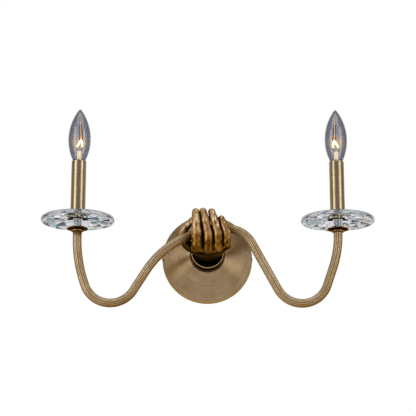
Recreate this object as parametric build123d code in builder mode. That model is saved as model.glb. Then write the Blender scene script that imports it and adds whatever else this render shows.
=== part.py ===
from build123d import *
from math import asin, cos, degrees, radians, sin, sqrt, tan
import os

# Wall lamp: a cast hand on a round backplate grips two curved, reeded candle arms.
# Millimetres. The origin lies on the wall at the backplate's centre, +X to the viewer's right,
# +Y into the wall and +Z up, so the lamp itself lies at negative y.

# Fits
slip_fit = 0.15
running_gap = 0.3

# Spun backplate and its collar
plate_radius = 69.5
plate_depth = 34.0
plate_wall = 1.2
plate_rim_height = 6.0
plate_hem = 3.0
plate_hub_radius = 28.0
plate_edge_round = 1.0
plate_hub_round = 2.0
collar_radius = 24.8
collar_wall = 1.8
collar_floor = 2.0
collar_length = 19.0
collar_lip_round = 0.8

# Threaded hollow nipples, the same pipe thread throughout
nipple_radius = 5.15
nipple_bore = 3.6
nut_flats = 14.0
nut_height = 4.5
hub_nut_flats = 19.0
hub_washer_radius = 12.0
washer_thickness = 1.2
wrist_thread_length = 22.0

# Wall strap inside the backplate
strap_height = 20.0
strap_thickness = 2.5
strap_hole_radius = 6.0
strap_slot_spacing = 79.0
strap_slot_length = 14.0
strap_slot_width = 5.0
strap_side_gap = 2.0
ear_thickness = 2.0
ear_height = 6.0
side_screw_radius = 1.5
side_screw_head_radius = 2.2
side_screw_head_height = 0.7
ground_screw_x = 20.0
ground_screw_radius = 2.0
ground_screw_head_radius = 3.8
ground_screw_head_height = 2.4
ground_screw_tail = 0.8

# Reeded arms: both lie in one plane parallel to the wall
arm_depth = 95.0
arm_reach = 195.0
arm_top = 21.0
arm_radius = 7.2
arm_bore = 5.3
reed_count = 16
reed_radius = 1.28
bowl_radius = 40.0
leg_lean = 19.0
leg_bend_share = 0.34
leg_length = {"left": 39.5, "right": 55.2}
bowl_bottom = {"left": -87.2, "right": -87.0}
run_angle = {"left": 58.0, "right": 61.6}
port_angle = {"left": -13.0, "right": 5.0}

# Coupling that joins the arms above the palm
coupling_x = 8.0
coupling_z = 24.3
coupling_radius = 8.2
coupling_half_length = 7.0
spigot_length = 10.0
coupling_bore = 3.9
stem_seat_z = 3.0

# Hand: wrist, palm, four fingers and thumb in one casting
palm_channel_radius = 3.8
wrist_width = 43.0
wrist_height = 29.0
wrist_end_width = 38.0
palm_width = 56.0
palm_height = 23.0
palm_front_height = 17.0
palm_roll = 10.0
palm_shift_x = 5.5
palm_drop = 3.5
knuckle_reach = 13.0
bone_waist = 0.94
finger_middle = 0.34
finger_end = 0.72
finger_lean_share = 0.55
fingertip_overhang = 5.0

# Candle cup, glass dish and seat ring
cup_bead_radius = 9.8
cup_bead_height = 2.2
cup_neck_radius = 8.2
cup_neck_height = 0.5
saucer_radius = 16.0
saucer_height = 1.7
saucer_edge = 0.8
felt_radius = 13.0
felt_thickness = 0.6
dish_radius = 55.0
dish_hub_radius = 18.0
dish_hub_height = 10.8
dish_thickness = 7.2
dish_rim_thickness = 6.4
dish_rim_below_top = 1.9
dish_flat_radius = 24.0
dish_cuts = 24
dish_cut_depth = 1.4
cut_length_share = 0.8
seat_radius = 13.4
seat_thickness = 1.8
seat_upstand = 4.2
seat_upstand_wall = 1.2

# Candle sleeve and lamp socket
sleeve_radius = 11.1
sleeve_wall = 0.8
sleeve_length = 84.0
sleeve_lip_round = 0.3
socket_recess = 4.0
socket_radius = 8.2
socket_length = 58.0
socket_cavity = 28.0
socket_cavity_radius = 6.9
shell_wall = 0.5
shell_length = 26.0
bracket_thickness = 1.0
bracket_width = 6.0
bracket_overlap = 6.0
bracket_collar = 2.0
contact_strip = 0.6
contact_width = 4.0
contact_lean = 2.4

# Screw-base bulb, its sizes up from the tip of its centre contact
bulb_seat_depth = 14.0
tip_contact_radius = 2.2
tip_contact_height = 3.4
insulator_lift = 1.2
cap_radius = 5.5
cap_wall = 0.35
cap_bottom = 2.6
cap_length = 15.4
thread_pitch = 2.54
thread_height = 0.35
thread_turns = 4
cap_lip_radius = 6.4
cap_lip_height = 1.0
bulb_neck_radius = 5.0
bulb_neck_bottom = 8.0
bulb_shoulder_radius = 9.6
bulb_shoulder_height = 20.0
bulb_radius = 17.1
bulb_widest_height = 53.0
bulb_ogive_radius = 82.0
bulb_tip_radius = 2.6
bulb_wall = 0.8
stem_radius = 3.3
stem_top = 34.0
stem_flare_height = 1.5
lead_radius = 0.4
lead_spread = 5.2
lead_top = 41.0
lead_straight = 1.5
lead_bend_radius = 3.0
filament_radius = 0.5
filament_rise = 13.0

# Wires and their twist-on connectors
wire_radius = 1.0
wire_offset = 1.25
wire_bend = 4.0
wire_stem_bend = 3.0
wire_end_depth = 6.0
connector_depth = 12.0
connector_mouth_z = 12.0
connector_length = 17.0
connector_radius = 5.2
connector_tip_radius = 3.6
connector_grip = 9.0

# Places worked out from the sizes above
collar_base = plate_depth
collar_rim = collar_base + collar_length
wrist_base = collar_base + collar_floor
wrist_nipple_front = wrist_base + wrist_thread_length
hub_washer_front = plate_depth - plate_wall
hub_nut_front = hub_washer_front - washer_thickness
hub_nut_back = hub_nut_front - nut_height
wrist_nipple_back = hub_nut_back - washer_thickness
nipple_clear = nipple_radius + slip_fit
cup_neck_bottom = arm_top + cup_bead_height
saucer_bottom = cup_neck_bottom + cup_neck_height
cup_top = saucer_bottom + saucer_height
dish_bottom = cup_top + felt_thickness
dish_underside = dish_bottom + dish_hub_height
dish_top = dish_underside + dish_thickness
dish_rim_top = dish_top - dish_rim_below_top
dish_rim_bottom = dish_rim_top - dish_rim_thickness
seat_top = dish_top + seat_thickness
seat_ring_radius = sleeve_radius - sleeve_wall - running_gap
nut_top = seat_top + nut_height
bracket_top = nut_top + bracket_thickness
lamp_nipple_top = bracket_top + washer_thickness
lamp_nipple_bottom = arm_top - spigot_length
sleeve_bottom = seat_top + running_gap
sleeve_top = sleeve_bottom + sleeve_length
socket_top = sleeve_top - socket_recess
socket_bottom = socket_top - socket_length
socket_floor = socket_top - socket_cavity
bulb_seat = socket_top - bulb_seat_depth
finger_depth = arm_depth + coupling_radius + running_gap

# Fingers: x at the knuckle and at the tip, height of the knuckle and the tip, and their radii
fingers = (
    {"x": (-16.8, -18.0), "z": (-6.2, 51.2), "r": (6.7, 4.9)},
    {"x": (1.4, -7.4), "z": (-8.8, 52.2), "r": (6.1, 4.7)},
    {"x": (16.2, 5.7), "z": (-6.6, 51.2), "r": (5.7, 4.6)},
    {"x": (29.3, 20.0), "z": (-1.8, 41.1), "r": (5.2, 4.0)},
)

# Thumb joints from the heel of the palm to the tip: x, depth, height and radius
thumb = (
    (-10.0, 64.0, 0.0, 11.0),
    (-30.0, 73.0, 6.0, 8.0),
    (-37.0, 79.0, 22.0, 6.2),
    (-29.5, 83.0, 37.0, 5.3),
    (-23.5, 89.0, 46.0, 4.5),
)

os.makedirs("parts", exist_ok=True)


def save(piece, name):
    piece.part.label = name
    export_step(piece.part, f"parts/{name}.step")


def place(x, depth, z):
    return Vector(x, -depth, z)


def arm_corners(side):
    # Corners of one arm's centre line, from the coupling to the candle, and the bend at each.
    out = -1 if side == "left" else 1
    port = radians(port_angle[side])
    run = radians(run_angle[side])
    lean = radians(leg_lean)
    bowl_reach = arm_reach - bowl_radius * cos(lean) - leg_length[side] * sin(lean)
    bowl_centre_z = bowl_bottom[side] + bowl_radius
    run_end = (bowl_reach - bowl_radius * sin(run), bowl_centre_z - bowl_radius * cos(run))
    leg_start_z = bowl_centre_z - bowl_radius * sin(lean)
    gap_u = run_end[0] - out * coupling_x
    gap_z = run_end[1] - coupling_z
    shoulder_length = (gap_u * sin(run) + gap_z * cos(run)) / sin(port + run)
    shoulder = (out * coupling_x + shoulder_length * cos(port), coupling_z + shoulder_length * sin(port))
    trough_length = bowl_radius * tan((run + radians(90) - lean) / 2)
    trough = (run_end[0] + trough_length * cos(run), run_end[1] - trough_length * sin(run))
    leg = (arm_reach, leg_start_z + leg_length[side] * cos(lean))
    straight = coupling_half_length + spigot_length
    shoulder_bend = (shoulder_length - straight) / tan((port + run) / 2)
    leg_bend = leg_bend_share * leg_length[side] / tan(lean / 2)
    start = (
        out * coupling_x + coupling_half_length * cos(port),
        coupling_z + coupling_half_length * sin(port),
    )
    flat = (start, shoulder, trough, leg, (arm_reach, arm_top))
    corners = [place(out * u, arm_depth, z) for u, z in flat]
    return corners, [shoulder_bend, bowl_radius, leg_bend]


def bone_chain(joints):
    # Round joints with a tapered bone between each two, added to the piece being built.
    for (start, start_radius), (end, end_radius) in zip(joints, joints[1:]):
        bone = end - start
        with Locations(Plane(origin=start, z_dir=bone.normalized())):
            Cone(
                bone_waist * start_radius,
                bone_waist * end_radius,
                bone.length,
                align=(Align.CENTER, Align.CENTER, Align.MIN),
            )
    for centre, radius in joints:
        with Locations(centre):
            Sphere(radius)


def bulb_outline(base, inset):
    # One side of the bulb's glass, drawn this far inside its outer face: its foot and its tip.
    foot = (bulb_neck_radius - inset, base + bulb_neck_bottom)
    neck_top = (bulb_neck_radius - inset, base + cap_bottom + cap_length + running_gap + inset)
    shoulder = (bulb_shoulder_radius - inset, base + bulb_shoulder_height + inset / 2)
    widest = (bulb_radius - inset, base + bulb_widest_height)
    ogive = bulb_ogive_radius - inset
    tip_round = bulb_tip_radius - inset
    tip_turn = degrees(asin((bulb_ogive_radius - bulb_radius) / (ogive - tip_round)))
    Line(foot, neck_top)
    Line(neck_top, shoulder)
    TangentArc(widest, shoulder, tangent=(0, -1))
    side_arc = JernArc(widest, (0, 1), ogive, 90 - tip_turn)
    tip_arc = JernArc(side_arc @ 1, side_arc % 1, tip_round, tip_turn)
    return foot, tip_arc @ 1


# Backplate: a spun cone with a straight rim and a hem turned in flat against the wall
cone_slope = (plate_depth - plate_rim_height) / (plate_radius - plate_hub_radius)
cone_drop = plate_wall * sqrt(1 + cone_slope**2)
with BuildPart() as backplate:
    with BuildSketch():
        with BuildLine():
            Polyline(
                (plate_radius - plate_hem, 0),
                (plate_radius, 0),
                (plate_radius, -plate_rim_height),
                (plate_hub_radius, -plate_depth),
                (nipple_clear, -plate_depth),
                (nipple_clear, plate_wall - plate_depth),
                (plate_hub_radius - (cone_drop - plate_wall) / cone_slope, plate_wall - plate_depth),
                (plate_radius - plate_wall, cone_drop - plate_rim_height - plate_wall * cone_slope),
                (plate_radius - plate_wall, -plate_wall),
                (plate_radius - plate_hem, -plate_wall),
                close=True,
            )
        make_face()
    revolve(axis=Axis.Y)
    rim_edges = backplate.edges().filter_by(GeomType.CIRCLE).filter_by(
        lambda edge: abs(edge.radius - plate_radius) < slip_fit and edge.center().Y < -plate_wall
    )
    fillet(rim_edges, plate_edge_round)
    hub_edges = backplate.edges().filter_by(GeomType.CIRCLE).filter_by(
        lambda edge: abs(edge.radius - plate_hub_radius) < slip_fit and edge.center().Y < -plate_rim_height
    )
    fillet(hub_edges, plate_hub_round)
    with Locations(Plane(origin=place(0, plate_rim_height / 2, 0), z_dir=(1, 0, 0))):
        Cylinder(side_screw_radius + slip_fit, 2 * plate_radius + plate_hem, mode=Mode.SUBTRACT)
save(backplate, "backplate")

# Collar: a deep ring with a floor that the wrist stands on
with BuildPart() as collar:
    with BuildSketch():
        with BuildLine():
            Polyline(
                (nipple_clear, -collar_base),
                (collar_radius, -collar_base),
                (collar_radius, -collar_rim),
                (collar_radius - collar_wall, -collar_rim),
                (collar_radius - collar_wall, -wrist_base),
                (nipple_clear, -wrist_base),
                close=True,
            )
        make_face()
    revolve(axis=Axis.Y)
    fillet(collar.faces().sort_by(Axis.Y)[0].edges(), collar_lip_round)
save(collar, "collar")

# Nipple that draws the hand, the collar and the backplate together
with BuildPart() as wrist_nipple:
    with BuildSketch(Plane.XZ.offset(wrist_nipple_back)):
        Circle(nipple_radius)
        Circle(nipple_bore, mode=Mode.SUBTRACT)
    extrude(amount=wrist_nipple_front - wrist_nipple_back)
save(wrist_nipple, "wrist_nipple")

with BuildPart() as hub_washer:
    with BuildSketch(Plane.XZ.offset(hub_nut_front)):
        Circle(hub_washer_radius)
        Circle(nipple_clear, mode=Mode.SUBTRACT)
    extrude(amount=washer_thickness)
save(hub_washer, "hub_washer")

with BuildPart() as hub_nut:
    with BuildSketch(Plane.XZ.offset(hub_nut_back)):
        RegularPolygon(hub_nut_flats / 2, 6, major_radius=False)
        Circle(nipple_clear, mode=Mode.SUBTRACT)
    extrude(amount=nut_height)
save(hub_nut, "hub_nut")

# Wall strap with an ear turned forward at each end for the side screws
ear_outside = plate_radius - plate_hem - strap_side_gap
with BuildPart() as wall_strap:
    with BuildSketch(Plane.XZ):
        Rectangle(2 * ear_outside, strap_height)
        Circle(strap_hole_radius, mode=Mode.SUBTRACT)
        with GridLocations(strap_slot_spacing, 0, 2, 1):
            SlotOverall(strap_slot_length, strap_slot_width, mode=Mode.SUBTRACT)
        with Locations((ground_screw_x, 0)):
            Circle(ground_screw_radius + slip_fit, mode=Mode.SUBTRACT)
    extrude(amount=strap_thickness)
    with BuildSketch(Plane.XZ.offset(strap_thickness)):
        with GridLocations(2 * ear_outside - ear_thickness, 0, 2, 1):
            Rectangle(ear_thickness, strap_height)
    extrude(amount=ear_height - strap_thickness)
    with Locations(Plane(origin=place(0, plate_rim_height / 2, 0), z_dir=(1, 0, 0))):
        with Locations((0, 0, ear_outside), (0, 0, -ear_outside)):
            Cylinder(side_screw_radius + slip_fit, 4 * ear_thickness, mode=Mode.SUBTRACT)
save(wall_strap, "wall_strap")

side_screw_inner = ear_outside - 2 * ear_thickness
with BuildPart() as side_screws:
    with BuildSketch(Plane(origin=place(side_screw_inner, plate_rim_height / 2, 0), z_dir=(1, 0, 0))):
        Circle(side_screw_radius)
    extrude(amount=plate_radius - side_screw_inner)
    with BuildSketch(Plane(origin=place(plate_radius, plate_rim_height / 2, 0), z_dir=(1, 0, 0))):
        Circle(side_screw_head_radius)
    extrude(amount=side_screw_head_height)
    mirror(about=Plane.YZ)
save(side_screws, "side_screws")

with BuildPart() as ground_screw:
    with BuildSketch(Plane.XZ.offset(ground_screw_tail)):
        with Locations((ground_screw_x, 0)):
            Circle(ground_screw_radius)
    extrude(amount=strap_thickness - ground_screw_tail)
    with BuildSketch(Plane.XZ.offset(strap_thickness)):
        with Locations((ground_screw_x, 0)):
            Circle(ground_screw_head_radius)
    extrude(amount=ground_screw_head_height)
save(ground_screw, "ground_screw")

# Coupling: a short tube between the arm ports, with a hollow stem that screws into the palm
coupling_centre = place(coupling_x, arm_depth, coupling_z)
coupling_tilt = (port_angle["right"] - port_angle["left"]) / 2
port_kink = radians((port_angle["right"] + port_angle["left"]) / 2)
body_half_length = coupling_half_length - coupling_radius * abs(tan(port_kink)) - slip_fit
body_direction = Vector(cos(radians(coupling_tilt)), 0, sin(radians(coupling_tilt)))
ports = {}
for side, out in (("left", -1), ("right", 1)):
    port = radians(port_angle[side])
    ports[side] = Plane(origin=coupling_centre, z_dir=(out * cos(port), 0, sin(port)))
stem_plane = Plane(origin=coupling_centre, z_dir=(0, 0, -1))
with BuildPart() as arm_coupling:
    with BuildSketch(Plane(origin=coupling_centre, z_dir=body_direction)):
        Circle(coupling_radius)
    extrude(amount=body_half_length, both=True)
    for port_plane in ports.values():
        with BuildSketch(port_plane.offset(body_half_length / 2)):
            Circle(arm_bore - slip_fit)
        extrude(amount=coupling_half_length + spigot_length - body_half_length / 2)
    with BuildSketch(stem_plane.offset(coupling_radius / 2)):
        Circle(nipple_radius)
    extrude(amount=coupling_z - stem_seat_z - coupling_radius / 2)
    with Locations(coupling_centre):
        Sphere(coupling_bore + slip_fit, mode=Mode.SUBTRACT)
    for port_plane in ports.values():
        with BuildSketch(port_plane):
            Circle(coupling_bore)
        extrude(amount=coupling_half_length + 2 * spigot_length, mode=Mode.SUBTRACT)
    with BuildSketch(stem_plane):
        Circle(nipple_bore)
    extrude(amount=2 * coupling_z, mode=Mode.SUBTRACT)
save(arm_coupling, "arm_coupling")

# Hand: a lofted wrist and palm, with fingers and thumb of round joints and tapered bones
knuckle_radius = fingers[0]["r"][0]
palm_front = finger_depth + knuckle_radius / 2
palm_middle = (wrist_base + palm_front) / 2
palm_sections = (
    (wrist_base, wrist_end_width, wrist_height, 0.0, 0.0, 0.0),
    (collar_rim, wrist_width, wrist_height, 0.0, 0.0, 0.0),
    (palm_middle, (wrist_width + palm_width) / 2, palm_height, palm_shift_x / 2, -palm_drop / 2, palm_roll / 2),
    (arm_depth, palm_width, palm_height, palm_shift_x, -palm_drop, palm_roll),
    (palm_front, palm_width - knuckle_reach, palm_front_height, palm_shift_x, -palm_drop, palm_roll),
)
channel_start = place(0, wrist_nipple_front - running_gap, 0)
channel_end = place(coupling_x, arm_depth, 0)
with BuildPart() as hand:
    for depth, width, height, shift, lift, roll in palm_sections:
        with BuildSketch(Plane(origin=place(shift, depth, lift), x_dir=(1, 0, 0), z_dir=(0, -1, 0))):
            Ellipse(width / 2, height / 2, rotation=roll)
    loft()
    for finger in fingers:
        (knuckle_x, tip_x), (knuckle_z, tip_z) = finger["x"], finger["z"]
        base_radius, tip_radius = finger["r"]
        middle_radius = (base_radius + tip_radius) / 2
        rise = tip_z - knuckle_z
        root_x = (knuckle_x + palm_shift_x) / 2
        root = place(root_x, palm_middle, -palm_drop / 2)
        knuckle = place(knuckle_x, finger_depth + base_radius, knuckle_z)
        middle_joint = place(knuckle_x, finger_depth + base_radius, knuckle_z + finger_middle * rise)
        end_joint_x = knuckle_x + finger_lean_share * (tip_x - knuckle_x)
        end_joint = place(end_joint_x, finger_depth + middle_radius, knuckle_z + finger_end * rise)
        tip = place(tip_x, arm_depth + fingertip_overhang, tip_z)
        bone_chain(
            (
                (root, bone_waist * base_radius),
                (knuckle, base_radius),
                (middle_joint, bone_waist * base_radius),
                (end_joint, middle_radius),
                (tip, tip_radius),
            )
        )
    bone_chain([(place(x, depth, z), radius) for x, depth, z, radius in thumb])
    with BuildSketch(Plane.XZ.offset(wrist_base - slip_fit)):
        Circle(nipple_clear)
    extrude(amount=wrist_thread_length + 2 * slip_fit, mode=Mode.SUBTRACT)
    channel_direction = (channel_end - channel_start).normalized()
    with BuildSketch(Plane(origin=channel_start, z_dir=channel_direction)):
        Circle(palm_channel_radius)
    extrude(amount=(channel_end - channel_start).length, mode=Mode.SUBTRACT)
    with Locations(channel_end):
        Sphere(palm_channel_radius + slip_fit, mode=Mode.SUBTRACT)
    with BuildSketch(Plane(origin=channel_end)):
        Circle(palm_channel_radius)
    extrude(amount=stem_seat_z, mode=Mode.SUBTRACT)
    with BuildSketch(Plane(origin=channel_end).offset(stem_seat_z - slip_fit)):
        Circle(nipple_clear)
    extrude(amount=coupling_z, mode=Mode.SUBTRACT)
save(hand, "hand")

# Twist-on connectors inside the backplate, one for each pair of wires
connector_recess = wire_offset + wire_radius + slip_fit
connector_plane = Plane.XZ.offset(connector_depth)
connector_axis = Axis(place(0, connector_depth, 0), (0, 0, 1))
with BuildPart() as wire_connectors:
    with BuildSketch(connector_plane):
        with BuildLine():
            Polyline(
                (connector_recess, connector_mouth_z),
                (connector_radius, connector_mouth_z),
                (connector_tip_radius, connector_mouth_z + connector_length),
                (0, connector_mouth_z + connector_length),
                (0, connector_mouth_z + connector_grip),
                (connector_recess, connector_mouth_z + connector_grip),
                close=True,
            )
        make_face()
    revolve(axis=connector_axis)
    mirror(about=Plane.XY)
save(wire_connectors, "wire_connectors")

for side, out in (("left", -1), ("right", 1)):
    candle_x = out * arm_reach
    candle_base = place(candle_x, arm_depth, 0)
    candle_axis = Axis(candle_base, (0, 0, 1))
    candle_plane = Plane(origin=candle_base, x_dir=(1, 0, 0), z_dir=(0, -1, 0))
    level = Plane(origin=candle_base)
    corners, bends = arm_corners(side)

    # Arm: a tube with rounded reeds along its whole length
    with BuildPart() as arm:
        with BuildLine() as centre_line:
            FilletPolyline(*corners, radius=bends)
        with BuildSketch(Plane(origin=corners[0], x_dir=(0, 1, 0), z_dir=corners[1] - corners[0])):
            Circle(arm_radius - reed_radius)
            with PolarLocations(arm_radius - reed_radius, reed_count):
                Circle(reed_radius)
            Circle(arm_bore, mode=Mode.SUBTRACT)
        sweep(path=centre_line.line)
    save(arm, f"arm_{side}")

    # Wires: two from the socket through the arm, the palm and the wrist to the connectors
    with BuildPart() as wires:
        for conductor in (1, -1):
            inward = conductor * wire_offset
            wire_depth = arm_depth - inward
            stem_x = coupling_x + out * wire_offset
            port_z = coupling_z + wire_offset * tan(radians(port_angle[side]))
            wire_points = [
                place(out * wire_offset, connector_depth, conductor * (connector_mouth_z + wire_end_depth)),
                place(out * wire_offset, connector_depth, inward),
                place(out * wire_offset, wrist_nipple_front, inward),
                place(stem_x, wire_depth, inward),
                place(stem_x, wire_depth, port_z),
                *[corner + (0, inward, 0) for corner in corners[1:4]],
                place(candle_x, wire_depth, socket_bottom + wire_end_depth),
            ]
            wire_bends = [wire_bend, wire_bend, wire_stem_bend - inward, wire_bend, *bends]
            with BuildLine() as wire_line:
                FilletPolyline(*wire_points, radius=wire_bends)
            with BuildSketch(Plane(origin=wire_points[0], z_dir=wire_points[1] - wire_points[0])):
                Circle(wire_radius)
            sweep(path=wire_line.line)
    save(wires, f"wires_{side}")

    # Turned cup that closes the arm and carries the glass dish
    with BuildPart() as arm_cup:
        with BuildSketch(candle_plane):
            with BuildLine():
                Polyline(
                    (nipple_clear, arm_top),
                    (cup_bead_radius, arm_top),
                    (cup_bead_radius, cup_neck_bottom),
                    (cup_neck_radius, cup_neck_bottom),
                    (cup_neck_radius, saucer_bottom),
                    (saucer_radius, cup_top - saucer_edge),
                    (saucer_radius, cup_top),
                    (nipple_clear, cup_top),
                    close=True,
                )
            make_face()
        revolve(axis=candle_axis)
        bead_edges = arm_cup.edges().filter_by(GeomType.CIRCLE).filter_by(
            lambda edge: abs(edge.radius - cup_bead_radius) < slip_fit
        )
        fillet(bead_edges, cup_bead_height / 2 - slip_fit)
    save(arm_cup, f"arm_cup_{side}")

    with BuildPart() as felt_washer:
        with BuildSketch(level.offset(cup_top)):
            Circle(felt_radius)
            Circle(nipple_clear, mode=Mode.SUBTRACT)
        extrude(amount=felt_thickness)
    save(felt_washer, f"felt_washer_{side}")

    with BuildPart() as lamp_nipple:
        with BuildSketch(level.offset(lamp_nipple_bottom)):
            Circle(nipple_radius)
            Circle(nipple_bore, mode=Mode.SUBTRACT)
        extrude(amount=lamp_nipple_top - lamp_nipple_bottom)
    save(lamp_nipple, f"lamp_nipple_{side}")

    # Glass dish: a thick clear hub under a round disc with mitre cuts on its underside
    cut_middle = (dish_hub_radius + dish_radius) / 2
    cut_slope = degrees(asin((dish_rim_bottom - dish_underside) / (dish_radius - dish_hub_radius)))
    cut_length = cut_length_share * (dish_radius - dish_hub_radius)
    with BuildPart() as glass_dish:
        with BuildSketch(candle_plane):
            with BuildLine():
                Polyline(
                    (nipple_clear + running_gap, dish_bottom),
                    (dish_hub_radius, dish_bottom),
                    (dish_hub_radius, dish_underside),
                    (dish_radius, dish_rim_bottom),
                    (dish_radius, dish_rim_top),
                    (dish_flat_radius, dish_top),
                    (nipple_clear + running_gap, dish_top),
                    close=True,
                )
            make_face()
        revolve(axis=candle_axis)
        rim_edges = glass_dish.edges().filter_by(GeomType.CIRCLE).filter_by(
            lambda edge: abs(edge.radius - dish_radius) < slip_fit
        )
        fillet(rim_edges, dish_rim_thickness / 2 - running_gap)
        with Locations(level.offset((dish_underside + dish_rim_bottom) / 2)):
            with PolarLocations(cut_middle, dish_cuts):
                with Locations(Rotation(0, -cut_slope, 0)):
                    with Locations(Rotation(45, 0, 0)):
                        Box(cut_length, dish_cut_depth, dish_cut_depth, mode=Mode.SUBTRACT)
    save(glass_dish, f"glass_dish_{side}")

    # Seat ring that centres the candle sleeve, and the nut that holds the stack down
    with BuildPart() as seat_ring:
        with BuildSketch(candle_plane):
            with BuildLine():
                Polyline(
                    (nipple_clear, dish_top),
                    (seat_radius, dish_top),
                    (seat_radius, seat_top),
                    (seat_ring_radius, seat_top),
                    (seat_ring_radius, seat_top + seat_upstand),
                    (seat_ring_radius - seat_upstand_wall, seat_top + seat_upstand),
                    (seat_ring_radius - seat_upstand_wall, seat_top),
                    (nipple_clear, seat_top),
                    close=True,
                )
            make_face()
        revolve(axis=candle_axis)
    save(seat_ring, f"seat_ring_{side}")

    with BuildPart() as nipple_nut:
        with BuildSketch(level.offset(seat_top)):
            RegularPolygon(nut_flats / 2, 6, major_radius=False)
            Circle(nipple_clear, mode=Mode.SUBTRACT)
        extrude(amount=nut_height)
    save(nipple_nut, f"nipple_nut_{side}")

    # Bracket on the nipple with two legs that hold the socket
    leg_middle = socket_radius + slip_fit + bracket_thickness / 2
    with BuildPart() as socket_bracket:
        with BuildSketch(level.offset(nut_top)):
            Rectangle(2 * leg_middle + bracket_thickness, bracket_width)
            Circle(nipple_clear + bracket_collar)
            Circle(nipple_clear, mode=Mode.SUBTRACT)
        extrude(amount=bracket_thickness)
        with BuildSketch(level.offset(nut_top)):
            with GridLocations(2 * leg_middle, 0, 2, 1):
                Rectangle(bracket_thickness, bracket_width)
        extrude(amount=socket_bottom + bracket_overlap - nut_top)
    save(socket_bracket, f"socket_bracket_{side}")

    with BuildPart() as socket_body:
        with BuildSketch(level.offset(socket_bottom)):
            Circle(socket_radius)
        extrude(amount=socket_length)
        with BuildSketch(level.offset(socket_floor)):
            Circle(socket_cavity_radius)
        extrude(amount=socket_cavity, mode=Mode.SUBTRACT)
        with BuildSketch(level.offset(socket_bottom)):
            with GridLocations(0, 2 * wire_offset, 1, 2):
                Circle(wire_radius + slip_fit)
        extrude(amount=wire_end_depth + slip_fit, mode=Mode.SUBTRACT)
    save(socket_body, f"socket_body_{side}")

    shell_radius = socket_cavity_radius - slip_fit
    with BuildPart() as socket_shell:
        with BuildSketch(level.offset(socket_floor)):
            Circle(shell_radius)
            Circle(shell_radius - shell_wall, mode=Mode.SUBTRACT)
        extrude(amount=shell_length)
    save(socket_shell, f"socket_shell_{side}")

    # Spring strip under the bulb: a foot on the socket's floor, a leaning leg and a top pad
    contact_height = bulb_seat - socket_floor - running_gap
    half_strip = contact_strip / 2
    with BuildPart() as socket_contact:
        with BuildSketch(candle_plane):
            with BuildLine():
                Polyline(
                    (contact_lean, socket_floor + half_strip),
                    (-contact_lean, socket_floor + half_strip),
                    (-contact_lean - contact_strip, socket_floor + contact_height / 2),
                    (-contact_lean, socket_floor + contact_height - half_strip),
                    (contact_lean, socket_floor + contact_height - half_strip),
                )
            trace(line_width=contact_strip)
        extrude(amount=contact_width / 2, both=True)
    save(socket_contact, f"socket_contact_{side}")

    with BuildPart() as candle_sleeve:
        with BuildSketch(level.offset(sleeve_bottom)):
            Circle(sleeve_radius)
            Circle(sleeve_radius - sleeve_wall, mode=Mode.SUBTRACT)
        extrude(amount=sleeve_length)
        fillet(candle_sleeve.faces().sort_by(Axis.Z)[-1].edges(), sleeve_lip_round)
    save(candle_sleeve, f"candle_sleeve_{side}")

    # Bulb: centre contact, black insulator, screw cap, glass, stem, leads and filament
    base = bulb_seat
    with BuildPart() as bulb_tip_contact:
        with BuildSketch(level.offset(base)):
            Circle(tip_contact_radius)
        extrude(amount=tip_contact_height)
        fillet(bulb_tip_contact.faces().sort_by(Axis.Z)[0].edges(), tip_contact_radius / 3)
    save(bulb_tip_contact, f"bulb_tip_contact_{side}")

    cap_inside = cap_radius - cap_wall
    with BuildPart() as bulb_insulator:
        with BuildSketch(level.offset(base + insulator_lift)):
            Circle(cap_inside - slip_fit)
            Circle(tip_contact_radius + slip_fit, mode=Mode.SUBTRACT)
        extrude(amount=tip_contact_height - insulator_lift)
    save(bulb_insulator, f"bulb_insulator_{side}")

    cap_top = base + cap_bottom + cap_length
    thread_start = base + cap_bottom + thread_pitch / 2
    with BuildPart() as bulb_cap:
        with BuildSketch(candle_plane):
            with BuildLine():
                thread_points = [(cap_radius, base + cap_bottom)]
                for turn in range(thread_turns):
                    ridge = thread_start + turn * thread_pitch
                    thread_points.append((cap_radius, ridge))
                    thread_points.append((cap_radius + thread_height, ridge + thread_pitch / 2))
                Polyline(
                    (cap_inside, base + cap_bottom),
                    *thread_points,
                    (cap_radius, thread_start + thread_turns * thread_pitch),
                    (cap_radius, cap_top - cap_lip_height),
                    (cap_lip_radius, cap_top - cap_lip_height),
                    (cap_lip_radius, cap_top),
                    (cap_inside, cap_top),
                    close=True,
                )
            make_face()
        revolve(axis=candle_axis)
    save(bulb_cap, f"bulb_cap_{side}")

    with BuildPart() as bulb_glass:
        with BuildSketch(candle_plane):
            with BuildLine():
                outer_foot, outer_tip = bulb_outline(base, 0)
                inner_foot, inner_tip = bulb_outline(base, bulb_wall)
                Line(outer_tip, inner_tip)
                Line(outer_foot, inner_foot)
            make_face()
        revolve(axis=candle_axis)
    save(bulb_glass, f"bulb_glass_{side}")

    stem_flare_radius = bulb_neck_radius - bulb_wall - slip_fit
    stem_bottom = base + bulb_neck_bottom
    with BuildPart() as bulb_stem:
        with BuildSketch(candle_plane):
            with BuildLine():
                Polyline(
                    (0, stem_bottom),
                    (stem_flare_radius, stem_bottom),
                    (stem_flare_radius, stem_bottom + stem_flare_height),
                    (stem_radius, stem_bottom + 2 * stem_flare_height),
                    (stem_radius, base + stem_top),
                    (0, base + stem_top),
                    close=True,
                )
            make_face()
        revolve(axis=candle_axis)
    save(bulb_stem, f"bulb_stem_{side}")

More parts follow.
